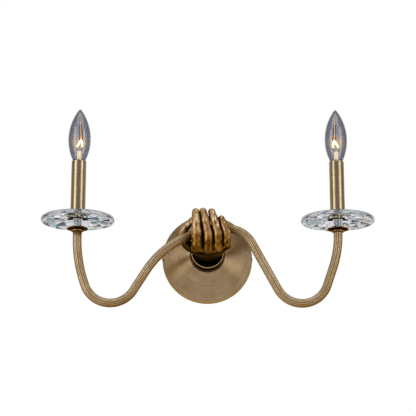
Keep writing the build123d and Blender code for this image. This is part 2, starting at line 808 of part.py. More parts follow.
    lead_root = stem_radius - 2 * lead_radius
    lead_corners = [
        place(candle_x + lead_root, arm_depth, base + stem_top),
        place(candle_x + lead_root, arm_depth, base + stem_top + lead_straight),
        place(candle_x + lead_spread, arm_depth, base + lead_top - lead_straight),
        place(candle_x + lead_spread, arm_depth, base + lead_top),
    ]
    with BuildPart() as bulb_leads:
        with BuildLine() as lead_line:
            FilletPolyline(*lead_corners, radius=lead_bend_radius)
        with BuildSketch(level.offset(base + stem_top)):
            with Locations((lead_root, 0)):
                Circle(lead_radius)
        sweep(path=lead_line.line)
        mirror(about=Plane.YZ.offset(candle_x))
    save(bulb_leads, f"bulb_leads_{side}")

    # Filament: one arch of wire standing on the two leads
    with BuildPart() as bulb_filament:
        with BuildLine() as filament_line:
            ThreePointArc(
                place(candle_x - lead_spread, arm_depth, base + lead_top),
                place(candle_x, arm_depth, base + lead_top + filament_rise),
                place(candle_x + lead_spread, arm_depth, base + lead_top),
            )
        filament_start = Plane(origin=filament_line.line @ 0, z_dir=filament_line.line % 0)
        with BuildSketch(filament_start):
            Circle(filament_radius)
        sweep(path=filament_line.line)
        filament_foot = level.offset(base + lead_top)
        split(bisect_by=filament_foot, keep=Keep.TOP)
    save(bulb_filament, f"bulb_filament_{side}")
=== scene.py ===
import math
import random

import bmesh
import bpy
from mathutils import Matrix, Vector


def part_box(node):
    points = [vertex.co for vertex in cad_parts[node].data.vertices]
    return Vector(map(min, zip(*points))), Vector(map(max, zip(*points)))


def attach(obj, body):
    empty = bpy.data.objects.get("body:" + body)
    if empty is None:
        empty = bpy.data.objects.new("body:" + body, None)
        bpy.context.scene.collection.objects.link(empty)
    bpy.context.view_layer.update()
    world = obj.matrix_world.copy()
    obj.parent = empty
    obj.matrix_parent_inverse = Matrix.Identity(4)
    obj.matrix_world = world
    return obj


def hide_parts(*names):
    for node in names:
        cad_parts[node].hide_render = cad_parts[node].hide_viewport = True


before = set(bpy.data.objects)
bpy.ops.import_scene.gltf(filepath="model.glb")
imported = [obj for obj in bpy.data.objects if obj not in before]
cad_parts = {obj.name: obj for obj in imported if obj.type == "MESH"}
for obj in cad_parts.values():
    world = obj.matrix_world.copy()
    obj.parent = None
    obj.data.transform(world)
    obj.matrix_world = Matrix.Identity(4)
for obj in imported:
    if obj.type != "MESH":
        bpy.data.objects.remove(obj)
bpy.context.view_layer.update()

sides = ("left", "right")
mm = 0.001
# Height of a finish's fine relief, millimetres
reliefMm = 0.2


# sRGB hex to the linear colour that a shader socket takes
def linear(hexText):
    channels = [int(hexText[i:i + 2], 16) / 255 for i in (1, 3, 5)]
    return tuple(c / 12.92 if c <= 0.04045 else ((c + 0.055) / 1.055) ** 2.4 for c in channels) + (1.0,)


# Sets a node's sockets and properties, or joins a socket to the node or output given for it.
# A span is what a map range goes from and to, spanMm the same with its first two in millimetres,
# stops are the steps of a colour ramp and sizeMm is the size of a pattern.
def setNode(node, values):
    for key, value in values.items():
        if key in ("span", "spanMm"):
            unit = mm if key == "spanMm" else 1
            limits = {"From Min": unit, "From Max": unit, "To Min": 1, "To Max": 1}
            for (name, scale), limit in zip(limits.items(), value):
                node.inputs[name].default_value = limit * scale
        elif key == "stops":
            while len(node.color_ramp.elements) < len(value):
                node.color_ramp.elements.new(0.5)
            for element, (position, colour) in zip(node.color_ramp.elements, value):
                element.position = position
                element.color = linear(colour)
        elif key == "sizeMm":
            node.inputs["Scale"].default_value = 1 / (value * mm)
        elif isinstance(value, (bpy.types.Node, bpy.types.NodeSocket)):
            output = value.outputs[0] if isinstance(value, bpy.types.Node) else value
            node.id_data.links.new(output, node.inputs[key])
        elif isinstance(key, int) or key in node.inputs.keys():
            node.inputs[key].default_value = linear(value) if isinstance(value, str) else value
        else:
            setattr(node, key, value)


# Adds one node with its settings and links
def addNode(tree, kind, values=None):
    node = tree.nodes.new(f"ShaderNode{kind}")
    setNode(node, values or {})
    return node


# A fresh material with its main shader and the places on the object that its patterns follow
def newFinish(name, settings):
    material = bpy.data.materials.new(name)
    material.use_nodes = True
    tree = material.node_tree
    tree.nodes.clear()
    shader = addNode(tree, "BsdfPrincipled", settings)
    addNode(tree, "OutputMaterial", {"Surface": shader})
    places = addNode(tree, "TexCoord").outputs
    finish = {"material": material, "tree": tree, "shader": shader}
    return dict(finish, place=places["Object"], shares=places["Generated"])


# Lays a colour over a finish by a share, or tones the finish with it
def stain(finish, share, colour, blend="MIX"):
    finish["colour"] = addNode(finish["tree"], "MixRGB", {
        "blend_type": blend, "Fac": share, "Color1": finish["colour"], "Color2": colour,
    })
    setNode(finish["shader"], {"Base Color": finish["colour"]})


# Tones a finish with a ramp of colours
def toneBy(finish, value, stops):
    stain(finish, 1.0, addNode(finish["tree"], "ValToRGB", {"stops": stops, "Fac": value}), "MULTIPLY")


# A finish whose tone goes from dark to light in a grain of some millimetres, with a relief where it has one
def grainFinish(spec):
    finish = newFinish(spec["name"], spec["shader"])
    grain = addNode(finish["tree"], "TexNoise", {
        "sizeMm": spec["grainMm"], "Detail": spec["detail"], "Roughness": spec.get("fineness", 0.5),
        "Vector": finish["place"],
    })
    steps = zip(spec.get("steps", (0.35, 0.65)), (spec["dark"], spec["light"]))
    finish["colour"] = addNode(finish["tree"], "ValToRGB", {"stops": list(steps), "Fac": grain})
    setNode(finish["shader"], {"Base Color": finish["colour"]})
    if "bump" in spec:
        relief = {"Strength": spec["bump"], "Distance": reliefMm * mm, "Height": grain}
        setNode(finish["shader"], {"Normal": addNode(finish["tree"], "Bump", relief)})
    return finish


# Puts a finish on CAD nodes
def dress(finish, *nodes):
    for name in nodes:
        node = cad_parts[name]
        node.data.materials.clear()
        node.data.materials.append(finish["material"])


# Names of a piece on both sides
def both(base):
    return [f"{base}_{side}" for side in sides]


# Stage: white ground, pale floor and soft studio light.
# A room goes from its grey level in front of the lamp to white behind it.
stage = {
    "floorZ": -0.95, "floorSize": 8.0, "worldLevel": 0.6,
    "mirrorRoom": (0.2, 0.85, 0.22, 1.0),
    "glassRoom": (-0.25, 0.45, 0.36, 1.0),
    "lights": [
        {"name": "stripLeft", "place": (-1.36, -1.16, 0.35), "size": (0.7, 2.0), "power": 10.0},
        {"name": "stripRight", "place": (1.36, -1.16, 0.35), "size": (0.7, 2.0), "power": 9.0},
        {"name": "overhead", "place": (0.0, -0.75, 1.6), "size": (1.8, 1.0), "power": 9.0},
    ],
    "aim": (0.0, -0.09, 0.06),
}

scene = bpy.context.scene
scene.view_settings.view_transform = "Standard"
world = bpy.data.worlds.new("studio")
scene.world = world
world.use_nodes = True
tree = world.node_tree
tree.nodes.clear()
rays = addNode(tree, "LightPath").outputs
ways = addNode(tree, "TexCoord").outputs
axes = addNode(tree, "SeparateXYZ", {"Vector": ways["Generated"]}).outputs
mirrorGround, glassGround = [
    addNode(tree, "MapRange", {"interpolation_type": "SMOOTHSTEP", "span": stage[room], "Value": axes["Y"]})
    for room in ("mirrorRoom", "glassRoom")
]
level = addNode(tree, "Mix", {"A": stage["worldLevel"], "B": mirrorGround, "Factor": rays["Is Glossy Ray"]})
level = addNode(tree, "Mix", {"A": level, "B": glassGround, "Factor": rays["Is Transmission Ray"]})
strength = addNode(tree, "Mix", {"A": level, "B": 1.0, "Factor": rays["Is Camera Ray"]})
background = addNode(tree, "Background", {"Color": "#ffffff", "Strength": strength})
addNode(tree, "OutputWorld", {"Surface": background})

for spec in stage["lights"]:
    lamp = bpy.data.lights.new(spec["name"], "AREA")
    lamp.shape = "RECTANGLE"
    lamp.size, lamp.size_y = spec["size"]
    lamp.energy = spec["power"]
    lampObject = bpy.data.objects.new(spec["name"], lamp)
    lampObject.location = spec["place"]
    aim = Vector(stage["aim"]) - lampObject.location
    lampObject.rotation_euler = aim.to_track_quat("-Z", "Y").to_euler()
    scene.collection.objects.link(lampObject)

# Matt paper floor, with a faint tooth
floorPaper = grainFinish({
    "name": "paperFloor", "shader": {"Roughness": 0.85, "Specular IOR Level": 0.2},
    "grainMm": 25.0, "detail": 3.0, "steps": (0.3, 0.7), "dark": "#e2e0dc", "light": "#e6e4e0",
})
floorMesh = bpy.data.meshes.new("floor")
half = stage["floorSize"] / 2
corners = [(-half, -half), (half, -half), (half, half), (-half, half)]
floorMesh.from_pydata([(x, y, stage["floorZ"]) for x, y in corners], [], [(0, 1, 2, 3)])
floorMesh.materials.append(floorPaper["material"])
floor = bpy.data.objects.new("floor", floorMesh)
scene.collection.objects.link(floor)

# Camera at the photograph's angle: a little below the lamp, a long lens
view = {
    "target": Vector((0.3, -95.0, 57.9)) * mm, "distance": 2200.0 * mm,
    "lookUp": math.radians(15.32), "turn": math.radians(0.5),
    "lens": 126.7, "sensor": 36.0, "clipEnd": 50.0,
}
ahead = Vector((
    math.sin(view["turn"]) * math.cos(view["lookUp"]),
    math.cos(view["turn"]) * math.cos(view["lookUp"]),
    math.sin(view["lookUp"]),
))
cameraData = bpy.data.cameras.new("camera")
cameraData.lens = view["lens"]
cameraData.sensor_width = view["sensor"]
cameraData.clip_end = view["clipEnd"]
camera = bpy.data.objects.new("camera", cameraData)
camera.location = view["target"] - ahead * view["distance"]
camera.rotation_euler = ahead.to_track_quat("-Z", "Y").to_euler()
scene.collection.objects.link(camera)
scene.camera = camera
print("stage ready")

# What the brass finishes share, unless one says otherwise
brass = {
    "grazing": "#b8a080", "anisotropic": 0.0, "ramp": (0.3, 0.5, 0.68),
    "worn": (0.3, 0.7), "duller": 0.07, "shinier": 0.05, "recessSamples": 8,
}


# Antiqued brass: a warm yellow metal darkened by patina, rubbed back where hands reach it.
# Recesses are darkened (crevice), partly as patina and partly as painted shade, and the way it was worked
# leaves fine lines (brush).
# Real brush lines are finer than a pixel, so they are drawn coarser.
def antiqueBrass(own):
    spec = {**brass, **own}
    finish = newFinish(spec["name"], {
        "Metallic": 1.0, "Specular Tint": spec["grazing"], "Anisotropic": spec["anisotropic"],
    })
    tree = finish["tree"]
    place = finish["place"]
    axes = addNode(tree, "SeparateXYZ", {"Vector": place}).outputs
    # Brush lines run round the plate, round the candle, or up and down the fingers
    if spec["brush"] == "rings":
        flat = addNode(tree, "CombineXYZ", {"X": axes["X"], "Y": axes["Z"]})
        line = addNode(tree, "VectorMath", {"operation": "LENGTH", 0: flat}).outputs["Value"]
    else:
        line = axes["X" if spec["brush"] == "upright" else "Z"]
    drift = addNode(tree, "TexNoise", {"sizeMm": spec["driftMm"], "Detail": 2.0, "Vector": place})
    lines = addNode(tree, "CombineXYZ", {"X": line, "Y": drift})
    closeness = (1 / (spec["brushMm"] * mm), spec["brushBreaks"], 1.0)
    stretch = addNode(tree, "Mapping", {"Scale": closeness, "Vector": lines})
    brush = addNode(tree, "TexNoise", {"Scale": 1.0, "Detail": 4.0, "Roughness": 0.6, "Vector": stretch})
    mottle = addNode(tree, "TexNoise", {
        "sizeMm": spec["mottleMm"], "Detail": 5.0, "Roughness": 0.6, "Vector": place,
    })
    worn = addNode(tree, "Mix", {"Factor": spec["brushShare"], "A": mottle, "B": brush})
    steps = zip(spec["ramp"], (spec["dark"], spec["mid"], spec["light"]))
    finish["colour"] = addNode(tree, "ValToRGB", {"stops": list(steps), "Fac": worn})
    # Painted shade and patina in the recesses that ambient occlusion finds
    recess = addNode(tree, "AmbientOcclusion", {
        "samples": spec["recessSamples"], "Distance": spec["creviceMm"] * mm,
    })
    recessShadeShare = addNode(tree, "MapRange", {
        "span": (*spec["crevices"], 1.0, 0.0), "Value": recess.outputs["AO"],
    })
    stain(finish, recessShadeShare, spec["crevice"])
    rough = (spec["rough"] + spec["duller"], spec["rough"] - spec["shinier"])
    gloss = addNode(tree, "MapRange", {"span": (*spec["worn"], *rough), "Value": worn})
    relief = addNode(tree, "Bump", {"Strength": spec["bump"], "Distance": reliefMm * mm, "Height": worn})
    setNode(finish["shader"], {"Roughness": gloss, "Normal": relief})
    return dict(finish, axes=axes, line=line, brush=brush)


# Spun backplate: brushed while it spins, so rings run round it and light fans across them, drawn as painted
# reflection and painted sheen in its colour
plateSpec = {
    "name": "spunAntiqueBrass", "brush": "rings", "brushMm": 0.9, "brushBreaks": 2.0, "driftMm": 30.0,
    "mottleMm": 22.0, "brushShare": 0.7, "bump": 0.12, "rough": 0.36, "anisotropic": 0.55,
    "light": "#c2ab8d", "mid": "#a88e6d", "dark": "#8b6f4b", "crevice": "#3a2810",
    "creviceMm": 9.0, "crevices": (0.3, 0.75),
}
# Dark fans are painted reflections, in degrees and millimetres. A fan sweeps round by so many degrees for
# each millimetre outwards.
plateFan = {
    "fans": (
        {"angle": 193.0, "sweep": 0.3, "narrowness": 56.0},
        {"angle": 12.0, "sweep": 0.6, "narrowness": 28.0},
    ),
    "sweepFrom": 42.0, "thinning": (42.0, 66.0, 1.0, 0.6), "streaks": (0.3, 0.75, 0.65, 1.0),
    "colour": "#6e4a12", "paintedSideSheen": (0.78, 0.99, 0.96, 1.8), "edgeBand": (67.6, 68.8), "edge": "#b8923f",
}
plate = antiqueBrass(plateSpec)
tree = plate["tree"]
outwards = plate["line"]
bearing = addNode(tree, "Math", {"operation": "ARCTAN2", 0: plate["axes"]["Z"], 1: plate["axes"]["X"]})
# Painted sheen: the colour is made lighter towards the plate's two sides than below, standing in for the
# light spun brass throws sideways
sideways = addNode(tree, "Math", {"operation": "COSINE", 0: bearing})
eitherSide = addNode(tree, "Math", {"operation": "ABSOLUTE", 0: sideways})
sideSheen = addNode(tree, "MapRange", {"span": plateFan["paintedSideSheen"], "Value": eitherSide})
stain(plate, 1.0, sideSheen, "MULTIPLY")
# The brushing streaks the fans, and they thin out towards the edge
streak = addNode(tree, "MapRange", {"span": plateFan["streaks"], "Value": plate["brush"]})
thinning = addNode(tree, "MapRange", {"spanMm": plateFan["thinning"], "Value": outwards})
depth = addNode(tree, "Math", {"operation": "MULTIPLY", 0: streak, 1: thinning})
for fan in plateFan["fans"]:
    rate = math.radians(fan["sweep"])
    start = math.radians(fan["angle"]) - rate * plateFan["sweepFrom"]
    sweep = addNode(tree, "Math", {"operation": "MULTIPLY_ADD", 0: outwards, 1: rate / mm, 2: start})
    # Cosine of the angle away from the fan's middle, raised to a power so that it fades softly to both sides
    away = addNode(tree, "Math", {"operation": "SUBTRACT", 0: bearing, 1: sweep})
    turn = addNode(tree, "Math", {"operation": "COSINE", 0: away})
    nearer = addNode(tree, "Math", {"operation": "MAXIMUM", 0: turn, 1: 0.0})
    fade = addNode(tree, "Math", {"operation": "POWER", 0: nearer, 1: fan["narrowness"]})
    share = addNode(tree, "Math", {"operation": "MULTIPLY", 0: fade, 1: depth})
    stain(plate, share, plateFan["colour"])
atEdge = addNode(tree, "MapRange", {"spanMm": plateFan["edgeBand"], "Value": outwards})
stain(plate, atEdge, plateFan["edge"])
tangent = addNode(tree, "Tangent", {"direction_type": "RADIAL", "axis": "Y"})
setNode(plate["shader"], {"Tangent": tangent})
dress(plate, "backplate")

# Collar: the same brass, polished at its lip; the rest is painted dark as painted shade, darkest inside
collarSpec = dict(
    plateSpec, name="polishedLipShadedBrass", brushMm=0.6, rough=0.26, anisotropic=0.0,
    light="#5a4318", mid="#46330f", dark="#33240a", creviceMm=20.0, crevices=(0.3, 0.9), crevice="#120b03",
)
collarLip = {"band": (-52.2, -52.7), "colour": "#e8c682"}
collar = antiqueBrass(collarSpec)
atLip = addNode(collar["tree"], "MapRange", {"spanMm": collarLip["band"], "Value": collar["axes"]["Y"]})
stain(collar, atLip, collarLip["colour"])
dress(collar, "collar")

# Cast hand: poured, filed and antiqued; its gaps are painted nearly black, as painted shade
handSpec = {
    "name": "castAntiqueBrass", "brush": "upright", "brushMm": 2.4, "brushBreaks": 5.0, "driftMm": 16.0,
    "mottleMm": 8.0, "brushShare": 0.55, "bump": 0.2, "rough": 0.46, "grazing": "#e0cfb4",
    "light": "#fae6c4", "mid": "#c4a172", "dark": "#6a481e", "ramp": (0.38, 0.5, 0.6), "crevice": "#0c0702",
    "creviceMm": 5.0, "crevices": (0.05, 0.4),
}
# Where its painted light and painted shade lie, as spans along y or z in millimetres
handUndersideShade = {"out": (-101.0, -84.0, 0.0, 0.85), "up": (12.0, 4.0), "colour": "#2a1c09"}
handHeightLight = {
    "up": (36.0, 0.0), "stops": [(0.0, "#fffaf2"), (0.4, "#faead0"), (0.7, "#dcc28e"), (1.0, "#a88a44")],
}
handGapShade = {
    "bend": (34.0, 51.5, 0.0, 7.5 * mm), "out": (-108.0, -106.3, 0.0, 0.97), "thumb": (-92.0, -96.0),
    "colour": "#0a0602",
}
cast = antiqueBrass(handSpec)
tree = cast["tree"]
outY = cast["axes"]["Y"]
upZ = cast["axes"]["Z"]
# Painted light: lighter near the top and darker golden lower down, and painted shade on the underside behind
# the fingers
lower = addNode(tree, "MapRange", {"spanMm": handHeightLight["up"], "Value": upZ})
toneBy(cast, lower, handHeightLight["stops"])
# Painted shade on the underside behind the fingers, towards the wall and low down
sheltered = addNode(tree, "MapRange", {"spanMm": handUndersideShade["out"], "Value": outY})
underneath = addNode(tree, "MapRange", {"spanMm": handUndersideShade["up"], "Value": upZ})
undersideShade = addNode(tree, "Math", {"operation": "MULTIPLY", 0: sheltered, 1: underneath})
stain(cast, undersideShade, handUndersideShade["colour"])
# Painted shade fills the gaps between the fingers; the fingertips bend back, so the level follows them
bend = addNode(tree, "MapRange", {"spanMm": handGapShade["bend"], "Value": upZ})
frontLevel = addNode(tree, "Math", {"operation": "SUBTRACT", 0: outY, 1: bend})
gapShade = addNode(tree, "MapRange", {"spanMm": handGapShade["out"], "Value": frontLevel})
pastThumb = addNode(tree, "MapRange", {"spanMm": handGapShade["thumb"], "Value": outY})
stain(cast, addNode(tree, "Math", {"operation": "MULTIPLY", 0: gapShade, 1: pastThumb}), handGapShade["colour"])
# Painted shade from the mesh: under the thumb, on the heel and along the lines between the fingers
paintedShadeMarks = addNode(tree, "Attribute", {"attribute_name": "sheltered"})
stain(cast, paintedShadeMarks.outputs["Fac"], handGapShade["colour"])

# Reeded arms: drawn tube with raised reeds, darker in the grooves
armSpec = {
    "name": "reededAntiqueBrass", "brush": "height", "brushMm": 6.0, "brushBreaks": 8.0, "driftMm": 12.0,
    "mottleMm": 24.0, "brushShare": 0.15, "bump": 0.01, "rough": 0.4,
    "light": "#eedfc8", "mid": "#e2cfb2", "dark": "#c8b192", "crevice": "#1a0e05",
    "creviceMm": 1.6, "crevices": (0.3, 0.6),
}
reedDarkening = {"depth": (0.42, 0.95, 0.0, 0.88), "colour": "#241404"}
# Painted light from above and to the left: the top of the arms pale, golden brown beneath as painted shade
armLightAndShade = [(0.1, "#fbf4ea"), (0.5, "#fff2dc"), (0.75, "#e2c79c"), (0.97, "#b08c58")]
# Beside the grip they are darker, as painted shade from the hand
gripShade = {"out": (48.0, 25.0), "tone": "#a8977e"}
reeded = antiqueBrass(armSpec)
tree = reeded["tree"]
groove = addNode(tree, "Attribute", {"attribute_name": "groove"})
grooveAndGripShade = addNode(tree, "MapRange", {
    "interpolation_type": "SMOOTHSTEP", "span": reedDarkening["depth"], "Value": groove.outputs["Fac"],
})
stain(reeded, grooveAndGripShade, reedDarkening["colour"])
under = addNode(tree, "Attribute", {"attribute_name": "under"})
toneBy(reeded, under.outputs["Fac"], armLightAndShade)
outward = addNode(tree, "Math", {"operation": "ABSOLUTE", 0: reeded["axes"]["X"]})
gripShadeShare = addNode(tree, "MapRange", {
    "interpolation_type": "SMOOTHSTEP", "spanMm": gripShade["out"], "Value": outward,
})
stain(reeded, gripShadeShare, gripShade["tone"], "MULTIPLY")

# Coupling inside the grip: painted nearly black, as painted shade
couplingSpec = dict(
    armSpec, name="shadedCouplingBrass", creviceMm=1.5,
    light="#3d2c14", mid="#2c1f0d", dark="#1c1306", crevice="#0a0602",
)
dress(antiqueBrass(couplingSpec), "arm_coupling")

# Turned fittings: lathe work in the same patina
turnedSpec = dict(
    armSpec, name="turnedAntiqueBrass", brushMm=0.5, brushShare=0.7, rough=0.27,
    light="#d8b983", mid="#b18b50", dark="#80602f", creviceMm=4.0,
)
dress(antiqueBrass(turnedSpec), "hub_washer", "hub_nut")

# Seat rings and nuts: brass kept bright under the glass, where nothing wears it or dirties it
seatSpec = dict(
    turnedSpec, name="cleanTurnedBrass", creviceMm=0.3, light="#f0dcb0", mid="#d9bd86", dark="#b08f58",
)
dress(antiqueBrass(seatSpec), *both("seat_ring"), *both("nipple_nut"))

# Arm cups: the same brass, painted dark under the saucer as painted shade, bright on the bead below
cupShade = [(0.42, "#ffffff"), (0.56, "#50402a"), (0.72, "#2c2012"), (0.88, "#d8b888")]
cup = antiqueBrass(dict(turnedSpec, name="shadedTurnedBrass"))
height = addNode(cup["tree"], "SeparateXYZ", {"Vector": cup["shares"]}).outputs["Z"]
toneBy(cup, height, cupShade)
dress(cup, *both("arm_cup"))

# Candle sleeves: tube brushed round its length, a satin with fine level lines
sleeveSpec = {
    "name": "brushedSleeveBrass", "brush": "height", "brushMm": 0.55, "brushBreaks": 3.0, "driftMm": 25.0,
    "mottleMm": 16.0, "brushShare": 0.75, "bump": 0.04, "rough": 0.28,
    "light": "#d2c2a4", "mid": "#bda986", "dark": "#9a805a", "crevice": "#3a2a14",
    "creviceMm": 3.0, "crevices": (0.3, 0.8),
}
dress(antiqueBrass(sleeveSpec), *both("candle_sleeve"))

# Bright stamped brass of the lamp holder and the bulb's contacts
contactSpec = dict(
    sleeveSpec, name="stampedBrass", rough=0.22, light="#ecd08a", mid="#d9b665", dark="#b18f48",
)
contactNodes = both("socket_shell") + both("socket_contact") + both("bulb_tip_contact") + both("bulb_cap")
dress(antiqueBrass(contactSpec), *contactNodes)

# Zinc plated steel: cool grey with a faint spangle
steelSpec = dict(
    sleeveSpec, name="zincPlatedSteel", brushShare=0.2, mottleMm=3.0, rough=0.34,
    light="#cfcdc8", mid="#b5b3ae", dark="#94928d", crevice="#3c3b39",
)
dress(antiqueBrass(steelSpec), "wall_strap", "side_screws", "wrist_nipple", *both("socket_bracket"))

# Lamp nipples: new zinc, seen bright grey through the glass hub
zincSpec = dict(
    steelSpec, name="brightZincSteel", creviceMm=0.3, rough=0.45,
    light="#f0f0f0", mid="#dcdcdc", dark="#c0c0c2",
)
dress(antiqueBrass(zincSpec), *both("lamp_nipple"))

# Nickel lead wire: drawn, bright and slightly yellow from the heat
nickelSpec = dict(
    steelSpec, name="drawnNickel", mottleMm=1.5, rough=0.25, light="#e0dcd2", mid="#c8c2b4", dark="#a39b8a",
)
dress(antiqueBrass(nickelSpec), *both("bulb_leads"))
print("metals ready")

# Moulded, painted, pressed and sheathed materials
plainFinishes = [
    # Green enamelled earth screw: a thin glossy paint on steel
    {"name": "greenEnamel", "shader": {"Roughness": 0.35, "Coat Weight": 0.3}, "grainMm": 1.2, "bump": 0.08,
     "dark": "#14532a", "light": "#1d6b38", "nodes": ["ground_screw"]},
    # Black phenolic moulding of the lamp holder: dull, faintly speckled by its filler
    {"name": "blackPhenolic", "shader": {"Roughness": 0.5}, "grainMm": 0.8, "bump": 0.12,
     "dark": "#171514", "light": "#262321", "nodes": both("socket_body")},
    # Black glass insulator in the bulb's cap: fused, smooth and shiny
    {"name": "fusedBlackGlass", "shader": {"Roughness": 0.12}, "grainMm": 1.0, "bump": 0.04,
     "dark": "#0c0c10", "light": "#1a1a20", "nodes": both("bulb_insulator")},
    # Pressed wool felt under the glass: matt, fibrous
    {"name": "pressedFelt", "shader": {"Roughness": 0.95, "Sheen Weight": 0.4}, "grainMm": 0.6, "bump": 0.5,
     "dark": "#6d6459", "light": "#8d8476", "nodes": both("felt_washer")},
    # PVC wire jacket: extruded, soft shine
    {"name": "extrudedPvc", "shader": {"Roughness": 0.45}, "grainMm": 1.5, "bump": 0.06,
     "dark": "#cfc6b0", "light": "#dcd4c0", "nodes": both("wires")},
    # Polypropylene wire connectors: moulded, waxy
    {"name": "mouldedPolypropylene", "shader": {"Roughness": 0.4}, "grainMm": 1.0, "bump": 0.08,
     "dark": "#c98a2c", "light": "#d99a3a", "nodes": ["wire_connectors"]},
]
for spec in plainFinishes:
    dress(grainFinish(dict(spec, detail=4.0, fineness=0.65)), *spec["nodes"])
print("small materials ready")

# Blown bulb glass: thin soda-lime, clear in the middle and greyer where its wall is seen edge on.
# Round the filament the glass gets a painted warm glow; near is the height above or below it in millimetres.
bulbSpec = {
    "clear": "#c2c4cb", "edge": "#292b32", "edgeBlend": 0.6, "ior": 1.5,
    "glowTint": "#ffe6c4", "near": (13.0, 3.0, 0.0, 0.75), "middle": (0.4, 0.02),
    "rippleMm": 14.0, "rippleBump": 0.05, "rippleHeight": 0.5,
}
bulbLow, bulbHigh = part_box("bulb_filament_left")
bulbGlass = newFinish("blownSodaGlass", {
    "Transmission Weight": 1.0, "Roughness": 0.0, "IOR": bulbSpec["ior"],
})
tree = bulbGlass["tree"]
facing = addNode(tree, "LayerWeight", {"Blend": bulbSpec["edgeBlend"]}).outputs["Facing"]
height = addNode(tree, "SeparateXYZ", {"Vector": bulbGlass["place"]}).outputs["Z"]
fromHot = addNode(tree, "Math", {"operation": "SUBTRACT", 0: height, 1: (bulbLow.z + bulbHigh.z) / 2})
distance = addNode(tree, "Math", {"operation": "ABSOLUTE", 0: fromHot})
glowNearFilament = addNode(tree, "MapRange", {"spanMm": bulbSpec["near"], "Value": distance})
towards = addNode(tree, "MapRange", {"span": bulbSpec["middle"], "Value": facing})
paintedGlow = addNode(tree, "Math", {"operation": "MULTIPLY", 0: glowNearFilament, 1: towards})
bulbGlass["colour"] = bulbSpec["clear"]
stain(bulbGlass, paintedGlow, bulbSpec["glowTint"])
stain(bulbGlass, facing, bulbSpec["edge"])
ripple = addNode(tree, "TexNoise", {
    "sizeMm": bulbSpec["rippleMm"], "Detail": 2.0, "Vector": bulbGlass["place"],
})
wave = addNode(tree, "Bump", {
    "Strength": bulbSpec["rippleBump"], "Distance": bulbSpec["rippleHeight"] * mm, "Height": ripple,
})
setNode(bulbGlass["shader"], {"Normal": wave})
dress(bulbGlass, *both("bulb_glass"))

# Drawn stem glass: thicker, with a painted warm glow that stands in for the filament's light just above it
stemSpec = {
    "name": "drawnStemGlass", "grainMm": 3.0, "detail": 2.0, "dark": "#e8dcc8", "light": "#f6efe2",
    "shader": {
        "Transmission Weight": 0.55, "Roughness": 0.12, "IOR": 1.5,
        "Emission Color": "#fae2b8", "Emission Strength": 0.75,
    },
}
dress(grainFinish(stemSpec), *both("bulb_stem"))

# Tungsten filament, lit: white hot in the middle of the coil, orange towards its cooler ends
filamentSpec = {
    "metal": "#6b6a68", "strength": 5.0, "coolMm": 4.0, "coolShare": 0.7, "flickerMm": 2.0,
    "flickerShare": 0.3, "glow": [(0.15, "#ff9a3c"), (0.6, "#fff1cf")],
}
tungsten = newFinish("litTungsten", {
    "Base Color": filamentSpec["metal"], "Metallic": 1.0, "Roughness": 0.4,
    "Emission Strength": filamentSpec["strength"],
})
tree = tungsten["tree"]
flicker = addNode(tree, "TexNoise", {
    "sizeMm": filamentSpec["flickerMm"], "Detail": 2.0, "Vector": tungsten["place"],
})
height = addNode(tree, "SeparateXYZ", {"Vector": tungsten["place"]}).outputs["Z"]
coolSpan = (bulbLow.z, bulbLow.z + filamentSpec["coolMm"] * mm, 0.0, filamentSpec["coolShare"])
fromEnds = addNode(tree, "MapRange", {"span": coolSpan, "Value": height})
heat = addNode(tree, "Math", {
    "operation": "MULTIPLY_ADD", 0: flicker, 1: filamentSpec["flickerShare"], 2: fromEnds,
})
glow = addNode(tree, "ValToRGB", {"stops": filamentSpec["glow"], "Fac": heat})
setNode(tungsten["shader"], {"Emission Color": glow})
dress(tungsten, *both("bulb_filament"))

# Core of the drawn tip: a pale line with a painted glow, standing in for the filament's light carried up to
# the point
tipCore = grainFinish({
    "name": "litTipGlass", "grainMm": 6.0, "detail": 2.0, "dark": "#e0b874", "light": "#fae2b4",
    "shader": {"Roughness": 0.2, "Transmission Weight": 0.3, "Emission Strength": 1.3},
})
setNode(tipCore["shader"], {"Emission Color": tipCore["colour"]})

# Glass round that core: clear in front, painted dark brown at its sides as painted shade, where the eye looks
# through most of it
tipShade = grainFinish({
    "name": "shadedTipGlass", "grainMm": 5.0, "detail": 2.0, "dark": "#3a2a22", "light": "#5c4a40",
    "shader": {"Transmission Weight": 1.0, "Roughness": 0.1, "IOR": 1.03},
})
front = addNode(tipShade["tree"], "LayerWeight", {"Blend": 0.5}).outputs["Facing"]
sideShade = tipShade["colour"]
tipShade["colour"] = "#c8b8ac"
stain(tipShade, front, sideShade)

# Cut lead crystal: very clear, flat polished facets; some are painted dark as painted reflections, a few blue
# and a few amber as painted flashes of colour.
# Its IOR is drawn lower than lead crystal's, so that the facets and what is behind them can be read.
crystalShader = {"Transmission Weight": 1.0, "Roughness": 0.0, "IOR": 1.22}
crystals = {
    "clear": {"name": "cutCrystalClear", "dark": "#dfe1e8", "light": "#fbfcff"},
    "darkReflection": {"name": "cutCrystalDarkReflection", "dark": "#040506", "light": "#3c3f46"},
    "blueFlash": {"name": "cutCrystalBlueFlash", "dark": "#3f96c4", "light": "#98d8e8"},
    "amberFlash": {"name": "cutCrystalAmberFlash", "dark": "#a8803c", "light": "#e8d2a8"},
    "edge": {"name": "polishedCrystalEdge", "dark": "#a6aaae", "light": "#c6cace"},
}
crystalTones = [
    grainFinish(dict(spec, shader=crystalShader, grainMm=9.0, detail=1.0))["material"]
    for spec in crystals.values()
]
toneNumber = {name: number for number, name in enumerate(crystals)}
print("glass ready")


